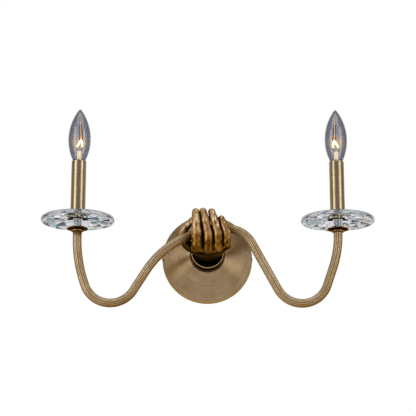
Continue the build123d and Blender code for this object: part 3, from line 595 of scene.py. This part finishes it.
# Joins rings of points into a closed smooth skin, with a fan at each end
def skinRings(mesh, rings):
    loops = [[mesh.verts.new(point) for point in ring] for ring in rings]
    count = len(loops[0])
    faces = []
    for lower, upper in zip(loops, loops[1:]):
        for i in range(count):
            j = (i + 1) % count
            faces.append((lower[i], lower[j], upper[j], upper[i]))
    for loop, flip in ((loops[0], True), (loops[-1], False)):
        pole = mesh.verts.new(sum((v.co for v in loop), Vector()) / count)
        for i in range(count):
            j = (i + 1) % count
            faces.append((loop[j], loop[i], pole) if flip else (loop[i], loop[j], pole))
    for corners in faces:
        mesh.faces.new(corners).smooth = True


# Makes an object of a mesh under construction
def makePiece(name, mesh, materials):
    bmesh.ops.recalc_face_normals(mesh, faces=mesh.faces)
    data = bpy.data.meshes.new(name)
    mesh.to_mesh(data)
    mesh.free()
    for material in materials:
        data.materials.append(material)
    piece = bpy.data.objects.new(name, data)
    scene.collection.objects.link(piece)
    return piece


# Goes from 0 to 1 slowly at both ends
def eased(t):
    return t * t * (3 - 2 * t)


# A smooth line through points, each with a radius
def smoothLine(points, radii, steps):
    stations = []
    last = len(points) - 1
    for k in range(last):
        before = points[max(k - 1, 0)]
        after = points[min(k + 2, last)]
        a = points[k]
        b = points[k + 1]
        for s in range(steps):
            t = s / steps
            spot = 0.5 * (
                2 * a + (b - before) * t
                + (2 * before - 5 * a + 4 * b - after) * t * t
                + (3 * a - before - 3 * b + after) * t ** 3
            )
            stations.append((spot, radii[k] + (radii[k + 1] - radii[k]) * eased(t)))
    stations.append((points[-1], radii[-1]))
    return stations


# Skins a limb along a line, rounded at both ends
def skinLimb(mesh, stations, across, widthShare=1.0, segments=28, domeSteps=6):
    rings = []
    last = len(stations) - 1
    turns = [k / domeSteps * math.pi / 2 for k in range(domeSteps)]
    dome = [(math.sin(turn), math.cos(turn)) for turn in turns]
    for index, (spot, radius) in enumerate(stations):
        ahead = (stations[min(index + 1, last)][0] - stations[max(index - 1, 0)][0]).normalized()
        side = (across - ahead * across.dot(ahead)).normalized()
        front = ahead.cross(side)
        spots = [(0.0, 1.0)]
        if index == 0:
            spots = [(-slide, shrink) for slide, shrink in reversed(dome)]
        elif index == last:
            spots = dome
        for slide, shrink in spots:
            middle = spot + ahead * radius * slide
            reach = radius * shrink
            rings.append([
                middle + side * math.cos(2 * math.pi * i / segments) * reach * widthShare
                + front * math.sin(2 * math.pi * i / segments) * reach / widthShare
                for i in range(segments)
            ])
    skinRings(mesh, rings)


# Hand, millimetres: depth is measured out from the wall.
# Lists run from the index finger to the little finger.
hand = {
    "voxel": 0.55, "smoothRounds": 9, "smoothFactor": 0.5, "lineSteps": 10,
    "fingerBack": 103.5, "tipDepth": 100.0, "middleShare": 0.34, "endShare": 0.72, "endLean": 0.55,
    "swell": 1.05, "waist": 0.94, "fingerWidth": 1.07, "rootBack": 16.0, "rootDrop": 0.5, "rootSwell": 1.12,
    "fingers": [
        {"x": (-16.8, -18.0), "z": (-5.4, 50.6), "radius": (7.1, 5.6)},
        {"x": (0.6, -7.4), "z": (-8.8, 51.6), "radius": (6.4, 5.4)},
        {"x": (15.4, 5.7), "z": (-6.4, 50.6), "radius": (6.2, 5.3)},
        {"x": (28.6, 20.0), "z": (0.6, 40.6), "radius": (5.5, 4.6)},
    ],
    # Each point is x, depth, height and radius
    "thumb": [
        (-10.0, 64.0, 0.0, 11.0), (-30.0, 73.0, 6.0, 8.0), (-37.0, 79.0, 22.0, 6.2),
        (-30.0, 83.0, 34.0, 5.4), (-22.5, 89.5, 41.0, 4.8),
    ],
    "thumbNail": Vector((-0.75, -0.45, 0.35)),
    # Each section is depth, width, height, x, z and roll
    "palm": [
        (36.0, 38.0, 29.0, 0.0, 0.0, 0.0), (53.0, 43.0, 29.0, 0.0, 0.0, 0.0),
        (71.3, 49.5, 23.0, 2.75, -1.75, 5.0), (95.0, 56.0, 23.0, 5.5, -3.5, 10.0),
        (106.65, 43.0, 17.0, 5.5, -3.5, 10.0),
    ],
    "palmSteps": 6, "palmSegments": 40,
    "ridgeOut": 2.0, "ridgeDrop": 2.4, "ridgeShares": (0.42, 0.66, 0.62, 0.36), "ridgeSteps": 8,
    "webOut": 0.2, "webBackFrom": 24.0, "webBackRate": 0.5, "webHalfWidth": 6.0, "webHalfDepth": 1.7,
    "webTops": (0.95, 0.7, 0.66), "webEvery": 4,
    # Nails, in shares of the fingertip's radius; rise and groove in millimetres
    "nail": {
        "back": 0.15, "halfLength": 0.9, "halfWidth": 0.74, "facing": 0.15, "near": 2.6, "square": 3,
        "flat": 6, "rise": 0.22, "groove": 0.5, "grooveAt": 1.12, "grooveWidth": 0.14, "grooveEnd": 0.7,
    },
    "crease": {
        "joints": (3, 5), "depth": 0.1, "width": 0.5, "lines": (-1.9, 0.0, 1.9), "facing": 0.2, "near": 1.9,
    },
    "thumbUnder": {"way": Vector((0.75, 0.0, -0.66)), "depth": 97.0, "x": -12.0, "from": 0.35, "to": 0.8},
    "seam": {"halfWidth": 0.8, "soft": 1.3, "depth": 95.0, "from": 4.0, "tableStep": 0.5},
    "heel": {"x": -20.0, "depth": (76.0, 108.0), "z": (1.0, 16.0), "up": -0.3},
}
towardsViewer = Vector((0, -1, 0))
acrossX = Vector((1, 0, 0))
acrossY = Vector((0, 1, 0))


def spotAt(x, depth, z):
    return Vector((x, -depth, z)) * mm


handMesh = bmesh.new()
nails = []
creases = []
fingerLines = []
nail = hand["nail"]
crease = hand["crease"]
for finger in hand["fingers"]:
    base, tip = finger["radius"]
    x, endX = finger["x"]
    z, endZ = finger["z"]
    rise = endZ - z
    lean = (endX - x) * hand["endLean"]
    back = hand["fingerBack"]
    middle = hand["middleShare"]
    end = hand["endShare"]
    endRadius = base + (tip - base) * end
    between = (base + endRadius) / 2
    joints = [
        (x, back + base - hand["rootBack"], z - hand["rootDrop"], base * hand["rootSwell"]),
        (x, back + base, z, base * hand["swell"]),
        (x, back + base, z + rise * middle / 2, base * hand["waist"]),
        (x, back + base, z + rise * middle, base * hand["swell"]),
        (x + lean / 2, back + between, z + rise * (middle + end) / 2, between * hand["waist"]),
        (x + lean, back + endRadius, z + rise * end, endRadius * hand["swell"]),
        (endX, hand["tipDepth"], endZ, tip),
    ]
    points = [spotAt(*joint[:3]) for joint in joints]
    radii = [joint[3] * mm for joint in joints]
    skinLimb(handMesh, smoothLine(points, radii, hand["lineSteps"]), acrossX, hand["fingerWidth"])
    fingerLines.append([spot for spot, radius in smoothLine(points[1:], radii[1:], hand["lineSteps"])])
    along = (points[-1] - points[-2]).normalized()
    nails.append((points[-1] - along * tip * nail["back"] * mm, along, towardsViewer, tip * mm))
    for joint in crease["joints"]:
        creases.append((points[joint], (points[joint + 1] - points[joint - 1]).normalized(), radii[joint]))

# The casting leaves a thin web at the back of each gap between two fingers
webReach = math.sqrt(hand["webHalfWidth"] * hand["webHalfDepth"])
webShare = hand["webHalfWidth"] / webReach
for lineA, lineB, top in zip(fingerLines, fingerLines[1:], hand["webTops"]):
    used = int(len(lineA) * top)
    webLine = []
    for spotA, spotB in list(zip(lineA, lineB))[:used:hand["webEvery"]]:
        spot = (spotA + spotB) / 2
        back = max(0.0, spot.z / mm - hand["webBackFrom"]) * hand["webBackRate"]
        spot.y = -(hand["fingerBack"] + hand["webOut"] - back) * mm
        webLine.append((spot, webReach * mm))
    skinLimb(handMesh, webLine, acrossX, webShare)

# A ridge joins the knuckles below the fingers
ridgePoints = [
    spotAt(finger["x"][0], hand["fingerBack"] + hand["ridgeOut"], finger["z"][0] - hand["ridgeDrop"])
    for finger in hand["fingers"]
]
ridgeRadii = [finger["radius"][0] * part * mm for finger, part in zip(hand["fingers"], hand["ridgeShares"])]
skinLimb(handMesh, smoothLine(ridgePoints, ridgeRadii, hand["ridgeSteps"]), acrossY)

thumbPoints = [spotAt(x, depth, z) for x, depth, z, radius in hand["thumb"]]
thumbRadii = [radius * mm for x, depth, z, radius in hand["thumb"]]
skinLimb(handMesh, smoothLine(thumbPoints, thumbRadii, hand["lineSteps"]), acrossY)
along = (thumbPoints[-1] - thumbPoints[-2]).normalized()
thumbNail = thumbPoints[-1] - along * thumbRadii[-1] * nail["back"]
nails.append((thumbNail, along, hand["thumbNail"].normalized(), thumbRadii[-1]))

palmSections = []
for low, high in zip(hand["palm"], hand["palm"][1:]):
    for step in range(hand["palmSteps"]):
        t = step / hand["palmSteps"]
        palmSections.append([a + (b - a) * (eased(t) if k else t) for k, (a, b) in enumerate(zip(low, high))])
palmSections.append(hand["palm"][-1])
palmRings = []
for depth, width, height, x, z, roll in palmSections:
    turn = math.radians(roll)
    ring = []
    for i in range(hand["palmSegments"]):
        angle = 2 * math.pi * i / hand["palmSegments"]
        across = math.cos(angle) * width / 2
        up = math.sin(angle) * height / 2
        ring.append(spotAt(
            x + across * math.cos(turn) - up * math.sin(turn), depth,
            z + across * math.sin(turn) + up * math.cos(turn),
        ))
    palmRings.append(ring)
skinRings(handMesh, palmRings)

castHand = makePiece("castHand", handMesh, [])
rawHand = castHand.data
# The limbs are fused into one skin and eased where they meet
fuse = castHand.modifiers.new("fuse", "REMESH")
fuse.mode = "VOXEL"
fuse.voxel_size = hand["voxel"] * mm
ease = castHand.modifiers.new("ease", "SMOOTH")
ease.factor = hand["smoothFactor"]
ease.iterations = hand["smoothRounds"]
bpy.context.view_layer.update()
fused = bpy.data.meshes.new_from_object(castHand.evaluated_get(bpy.context.evaluated_depsgraph_get()))
castHand.modifiers.clear()
castHand.data = fused
bpy.data.meshes.remove(rawHand)

# Where the line between two fingers runs at each height, up to the height at which it ends, for the painted
# shade along it
seam = hand["seam"]
seams = []
for fingerA, fingerB, lineA, lineB in zip(hand["fingers"], hand["fingers"][1:], fingerLines, fingerLines[1:]):
    share = fingerA["radius"][0] / (fingerA["radius"][0] + fingerB["radius"][0])
    top = min(lineA[-1].z, lineB[-1].z) / mm
    table = []
    for step in range(int((top - seam["from"]) / seam["tableStep"]) + 1):
        z = (seam["from"] + step * seam["tableStep"]) * mm
        xs = []
        for line in (lineA, lineB):
            k = next(k for k in range(1, len(line)) if line[k].z >= z or k == len(line) - 1)
            part = (z - line[k - 1].z) / (line[k].z - line[k - 1].z)
            xs.append(line[k - 1].x + (line[k].x - line[k - 1].x) * part)
        table.append((xs[0] + (xs[1] - xs[0]) * share) / mm)
    seams.append(table)

# Nails stand a little proud in a groove, joints have shallow creases, and painted shade darkens the shaded
# places
skin = [(vertex.co.copy(), vertex.normal.copy()) for vertex in fused.vertices]
worked = []
darkened = []
thumbUnder = hand["thumbUnder"]
heel = hand["heel"]
for spot, normal in skin:
    shift = 0.0
    # Painted shade under the thumb and on the heel of the palm beside the arm
    shade = 0.0
    depth = -spot.y / mm
    if depth < thumbUnder["depth"] and spot.x < thumbUnder["x"] * mm:
        facing = normal.dot(thumbUnder["way"])
        shade = min(1.0, max(0.0, (facing - thumbUnder["from"]) / (thumbUnder["to"] - thumbUnder["from"])))
    if spot.x < heel["x"] * mm and heel["depth"][0] < depth < heel["depth"][1]:
        if heel["z"][0] * mm < spot.z < heel["z"][1] * mm and normal.z > heel["up"]:
            shade = 1.0
    # Painted shade along the lines between the fingers
    step = int((spot.z / mm - seam["from"]) / seam["tableStep"])
    if depth > seam["depth"] and step >= 0:
        for table in seams:
            if step < len(table):
                away = abs(spot.x / mm - table[step]) - seam["halfWidth"]
                shade = max(shade, min(1.0, 1 - away / seam["soft"]))
    darkened.append(shade)
    for middle, along, outward, radius in nails:
        gap = spot - middle
        if normal.dot(outward) < nail["facing"] or gap.length > radius * nail["near"]:
            continue
        across = along.cross(outward).normalized()
        u = gap.dot(along) / (radius * nail["halfLength"])
        v = gap.dot(across) / (radius * nail["halfWidth"])
        edge = (abs(u) ** nail["square"] + abs(v) ** nail["square"]) ** (1 / nail["square"])
        shift += nail["rise"] * mm * max(0.0, 1 - edge ** nail["flat"])
        if u < nail["grooveEnd"]:
            shift -= nail["groove"] * mm * math.exp(-((edge - nail["grooveAt"]) / nail["grooveWidth"]) ** 2)
    for middle, along, radius in creases:
        gap = spot - middle
        if normal.dot(towardsViewer) < crease["facing"] or gap.length > radius * crease["near"]:
            continue
        for line in crease["lines"]:
            away = (gap.dot(along) - line * mm) / (crease["width"] * mm)
            shift -= crease["depth"] * mm * math.exp(-away * away)
    worked.extend(spot + normal * shift)
fused.vertices.foreach_set("co", worked)
fused.attributes.new("sheltered", "FLOAT", "POINT").data.foreach_set("value", darkened)
fused.update()
for polygon in fused.polygons:
    polygon.use_smooth = True
fused.materials.clear()
fused.materials.append(cast["material"])
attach(castHand, "root")
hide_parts("hand")
print("hand ready", len(fused.vertices), "points")

# Reeded arms, millimetres and degrees, a little thinner than the CAD tubes and close to their route.
# They have fewer reeds, so that the lines show at the photograph's size.
arm = {
    "reach": 195.0, "top": 21.0, "depth": 95.0, "radius": 6.65,
    "reeds": 14, "reedRadius": 2.0, "reedSteps": 12, "stepMm": 1.5, "lightFrom": Vector((-0.35, 0.0, 0.94)),
    "gripReach": 27.5, "couplingX": 8.0, "couplingZ": 24.3, "couplingHalf": 7.0, "spigot": 10.0,
    "bowlRadius": 40.0, "legLean": 19.0,
    "left": {"leg": 39.5, "bottom": -87.72, "run": 58.0, "port": -13.0, "bendShare": 0.88},
    "right": {"leg": 55.2, "bottom": -87.72, "run": 61.6, "port": 5.0, "bendShare": 0.5},
}


# Centre line of one arm: straight stretches joined by arcs, as pairs of distance out and height
def armLine(side):
    own = arm[side]
    out = -1 if side == "left" else 1
    port = math.radians(own["port"])
    run = math.radians(own["run"])
    lean = math.radians(arm["legLean"])
    bowl = arm["bowlRadius"]
    bowlReach = arm["reach"] - bowl * math.cos(lean) - own["leg"] * math.sin(lean)
    bowlZ = own["bottom"] + bowl
    root = Vector((out * arm["couplingX"], arm["couplingZ"]))
    runEnd = Vector((bowlReach - bowl * math.sin(run), bowlZ - bowl * math.cos(run)))
    gap = runEnd - root
    shoulderLength = (gap.x * math.sin(run) + gap.y * math.cos(run)) / math.sin(port + run)
    portWay = Vector((math.cos(port), math.sin(port)))
    troughLength = bowl * math.tan((run + math.pi / 2 - lean) / 2)
    corners = [
        root + portWay * arm["couplingHalf"],
        root + portWay * shoulderLength,
        runEnd + Vector((math.cos(run), -math.sin(run))) * troughLength,
        Vector((arm["reach"], bowlZ - bowl * math.sin(lean) + own["leg"] * math.cos(lean))),
        Vector((arm["reach"], arm["top"])),
    ]
    bends = [
        (shoulderLength - arm["couplingHalf"] - arm["spigot"]) / math.tan((port + run) / 2),
        bowl,
        own["bendShare"] * own["leg"] / math.tan(lean / 2),
    ]
    line = [corners[0]]
    for before, corner, after, bend in zip(corners, corners[1:], corners[2:], bends):
        into = (corner - before).normalized()
        away = (after - corner).normalized()
        angle = into.angle(away)
        inward = (away - into * into.dot(away)).normalized()
        begin = corner - into * bend * math.tan(angle / 2)
        steps = int(bend * angle / arm["stepMm"]) + 2
        for step in range(steps + 1):
            t = angle * step / steps
            line.append(begin + inward * bend * (1 - math.cos(t)) + into * bend * math.sin(t))
    line.append(corners[-1])
    return [Vector((out * spot.x, -arm["depth"], spot.y)) * mm for spot in line]


def buildArm(side):
    # Section through the reeds: how far out each point is, and how deep it lies in a groove
    hub = arm["radius"] - arm["reedRadius"]
    perReed = arm["reedSteps"]
    section = []
    for i in range(arm["reeds"] * perReed):
        fromCrest = abs((i % perReed) / perReed - 0.5) * 2
        turn = fromCrest * math.pi / arm["reeds"]
        reach = hub * math.cos(turn) + math.sqrt(arm["reedRadius"] ** 2 - (hub * math.sin(turn)) ** 2)
        section.append((2 * math.pi * i / (arm["reeds"] * perReed), reach * mm, fromCrest))
    line = armLine(side)
    last = len(line) - 1
    rings = []
    depths = []
    awayFromLightShares = []
    for k, spot in enumerate(line):
        ahead = (line[min(k + 1, last)] - line[max(k - 1, 0)]).normalized()
        inPlane = ahead.cross(acrossY)
        ways = [acrossY * math.cos(turn) + inPlane * math.sin(turn) for turn, reach, depth in section]
        rings.append([spot + way * reach for way, (turn, reach, depth) in zip(ways, section)])
        # Painted light: the side facing the light is paler
        awayFromLightShares.extend(0.5 - 0.5 * way.dot(arm["lightFrom"]) for way in ways)
        # Under the index finger and the little finger the whole underside gets painted shade, as dark as a
        # groove
        besideGrip = abs(spot.x) < arm["gripReach"] * mm
        depths.extend(
            1.0 if besideGrip and way.z < 0 else depth for way, (turn, reach, depth) in zip(ways, section)
        )
    mesh = bmesh.new()
    skinRings(mesh, rings)
    piece = makePiece(f"reededArm_{side}", mesh, [reeded["material"]])
    # The last two points are the middles of the tube's ends
    for name, values in (("groove", depths + [0.0, 0.0]), ("under", awayFromLightShares + [0.5, 0.5])):
        piece.data.attributes.new(name, "FLOAT", "POINT").data.foreach_set("value", values)
    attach(piece, "root")
    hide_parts(f"arm_{side}")


for side in sides:
    buildArm(side)
print("arms ready")

# Cut glass dish, millimetres: cut below in rows of mitred facets, each half a step round from the last
dish = {
    "segments": 96, "cutRepeats": 12, "cutFrom": 22.0, "cutTo": 49.0, "cutRows": 2, "cutDepth": 1.4,
    "rimSteps": 8, "rimSquare": 0.55, "rimDrop": 1.9, "rimThickness": 6.4,
    "boreRadius": 5.6, "flatRadius": 24.0, "hubRadius": 18.0, "hubHeight": 10.8, "hubRound": 0.9,
    "hubWaist": 0.6, "waistShares": (0.42, 0.5, 0.58), "corner": 0.3, "fillet": (0.4, 1.5),
    "darkReflectionShare": 0.24, "blueFlashShare": 0.025, "amberFlashShare": 0.05, "seed": 7,
}


def dishRows(top, bottom, radius):
    # Each row is a radius, a height, how deep its cuts are, and its place among the cut rows or -1 on the rim
    hubTop = bottom + dish["hubHeight"]
    rimTop = top - dish["rimDrop"]
    rimBottom = rimTop - dish["rimThickness"]
    hub = dish["hubRadius"]
    soft = dish["hubRound"]
    corner = soft * dish["corner"]
    below, waist, above = [bottom + dish["hubHeight"] * share for share in dish["waistShares"]]
    start, full = [hub + soft * share for share in dish["fillet"]]
    rows = [(r, z, 0, 0) for r, z in (
        (dish["boreRadius"], bottom), (hub - soft, bottom), (hub - corner, bottom + corner),
        (hub, bottom + soft), (hub, below), (hub - dish["hubWaist"], waist), (hub, above),
        (hub, hubTop - soft), (start, hubTop - corner), (full, hubTop),
    )]
    slope = (rimBottom - hubTop) / (radius - hub)
    for row in range(dish["cutRows"] + 1):
        r = dish["cutFrom"] + (dish["cutTo"] - dish["cutFrom"]) * row / dish["cutRows"]
        rows.append((r, hubTop + slope * (r - hub), dish["cutDepth"], row))
    half = dish["rimThickness"] / 2
    for step in range(dish["rimSteps"] + 1):
        angle = -math.pi / 2 + math.pi * step / dish["rimSteps"]
        out = abs(math.cos(angle)) ** dish["rimSquare"]
        up = math.copysign(abs(math.sin(angle)) ** dish["rimSquare"], angle)
        rows.append((radius - half + half * out, rimBottom + half + half * up, 0, -1))
    rows.append(((dish["flatRadius"] + radius) / 2, (top + rimTop) / 2, 0, 0))
    rows.append((dish["flatRadius"], top, 0, 0))
    rows.append((dish["boreRadius"], top, 0, 0))
    return rows


def buildDish(side):
    low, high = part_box(f"glass_dish_{side}")
    middle = (low + high) / 2
    rows = dishRows(high.z / mm, low.z / mm, (high.x - low.x) / 2 / mm)
    count = dish["segments"]
    points = 2 * dish["cutRepeats"]
    perPoint = count // points
    draw = random.Random(dish["seed"] + len(side))
    mesh = bmesh.new()
    loops = []
    for r, z, depth, row in rows:
        # A cut row has a vertex only at each ridge and valley, so that its facets are flat
        number = points if depth else count
        loop = []
        for i in range(number):
            cut = depth if (i + row) % 2 else 0
            angle = 2 * math.pi * i / number
            loop.append(mesh.verts.new((
                middle.x + r * mm * math.cos(angle), middle.y + r * mm * math.sin(angle), (z + cut) * mm,
            )))
        loops.append(loop)
    # Painted reflections: a share of the facets is dark, a few are blue and a few amber
    darkReflection = dish["darkReflectionShare"]
    blueFlash = darkReflection + dish["blueFlashShare"]
    amberFlash = blueFlash + dish["amberFlashShare"]
    limits = {"darkReflection": darkReflection, "blueFlash": blueFlash, "amberFlash": amberFlash, "clear": 1.0}
    for k, lower in enumerate(loops):
        upper = loops[(k + 1) % len(rows)]
        cutBelow = rows[k][2] > 0
        cutAbove = rows[(k + 1) % len(rows)][2] > 0
        if not cutBelow and not cutAbove:
            for i in range(count):
                j = (i + 1) % count
                face = mesh.faces.new((lower[i], lower[j], upper[j], upper[i]))
                face.smooth = True
                face.material_index = toneNumber["edge" if rows[k][3] < 0 else "clear"]
            continue
        for i in range(points):
            j = (i + 1) % points
            fine = [(i * perPoint + step) % count for step in range(perPoint + 1)]
            if not cutBelow:
                facets = [[lower[f] for f in fine] + [upper[j], upper[i]]]
            elif not cutAbove:
                facets = [[lower[i], lower[j]] + [upper[f] for f in reversed(fine)]]
            elif (i + rows[k][3]) % 2:
                facets = [(lower[i], lower[j], upper[j]), (lower[i], upper[j], upper[i])]
            else:
                facets = [(lower[i], lower[j], upper[i]), (lower[j], upper[j], upper[i])]
            for facet in facets:
                pick = draw.random()
                tone = next(name for name, limit in limits.items() if pick < limit)
                mesh.faces.new(facet).material_index = toneNumber[tone]
    piece = makePiece(f"cutDish_{side}", mesh, crystalTones)
    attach(piece, "root")
    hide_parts(f"glass_dish_{side}")


for side in sides:
    buildDish(side)
print("dishes ready")

# Coiled filament, millimetres: a coil that climbs from one lead to a point and down to the other.
# The real coil is finer than a pixel, so it is drawn coarser.
coil = {
    "turns": 13, "coilRadius": 1.1, "wireRadius": 0.5, "stepsPerTurn": 16, "segments": 8, "domeSteps": 2,
    "across": Vector((0.3, 1, 0.2)), "spread": 4.2, "rise": 11.2, "point": 1.35, "lean": 2.4,
}
# Drawn tip, millimetres: where the bulb was pulled to a point its glass runs down inside as a thick core
drawnTip = {
    "coreFrom": 0.8, "coreTo": 0.3, "shadeFrom": 3.2, "shadeTo": 0.9, "above": 0.5, "below": 4.5,
    "steps": 12, "segments": 20, "domeSteps": 4,
}


def placePiece(name, mesh, finish, body):
    piece = makePiece(name, mesh, [finish["material"]])
    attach(piece, body)
    return piece


def buildFilament(side):
    low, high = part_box(f"bulb_filament_{side}")
    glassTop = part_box(f"bulb_glass_{side}")[1].z
    middle = (low + high) / 2
    count = coil["turns"] * coil["stepsPerTurn"]
    lean = coil["lean"] if side == "left" else -coil["lean"]
    path = []
    for i in range(count + 1):
        u = 2 * i / count - 1
        path.append(Vector((
            middle.x + (coil["spread"] * u + lean * (1 - u * u)) * mm,
            middle.y,
            low.z + coil["rise"] * (1 - abs(u) ** coil["point"]) * mm,
        )))
    stations = []
    for i, spot in enumerate(path):
        ahead = (path[min(i + 1, count)] - path[max(i - 1, 0)]).normalized()
        outward = Vector((ahead.z, 0, -ahead.x))
        turn = 2 * math.pi * i / coil["stepsPerTurn"]
        around = outward * math.cos(turn) + acrossY * math.sin(turn)
        stations.append((spot + around * coil["coilRadius"] * mm, coil["wireRadius"] * mm))
    mesh = bmesh.new()
    skinLimb(mesh, stations, coil["across"], 1.0, coil["segments"], coil["domeSteps"])
    piece = placePiece(f"coiledFilament_{side}", mesh, tungsten, f"bulb_{side}")
    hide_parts(f"bulb_filament_{side}")

    start = low.z + (coil["rise"] + coil["coilRadius"] + drawnTip["above"]) * mm
    stop = glassTop - drawnTip["below"] * mm
    for name, finish, slot, wide, narrow in (
        ("tipCore", tipCore, "stem_glass", drawnTip["coreFrom"], drawnTip["coreTo"]),
        ("tipShade", tipShade, "bulb_glass", drawnTip["shadeFrom"], drawnTip["shadeTo"]),
    ):
        line = []
        for step in range(drawnTip["steps"] + 1):
            t = step / drawnTip["steps"]
            spot = Vector((middle.x + lean * (1 - t) * mm, middle.y, start + (stop - start) * t))
            line.append((spot, (wide + (narrow - wide) * t) * mm))
        mesh = bmesh.new()
        skinLimb(mesh, line, acrossX, 1.0, drawnTip["segments"], drawnTip["domeSteps"])
        placePiece(f"{name}_{side}", mesh, finish, f"bulb_{side}")


for side in sides:
    buildFilament(side)
print("filaments ready")
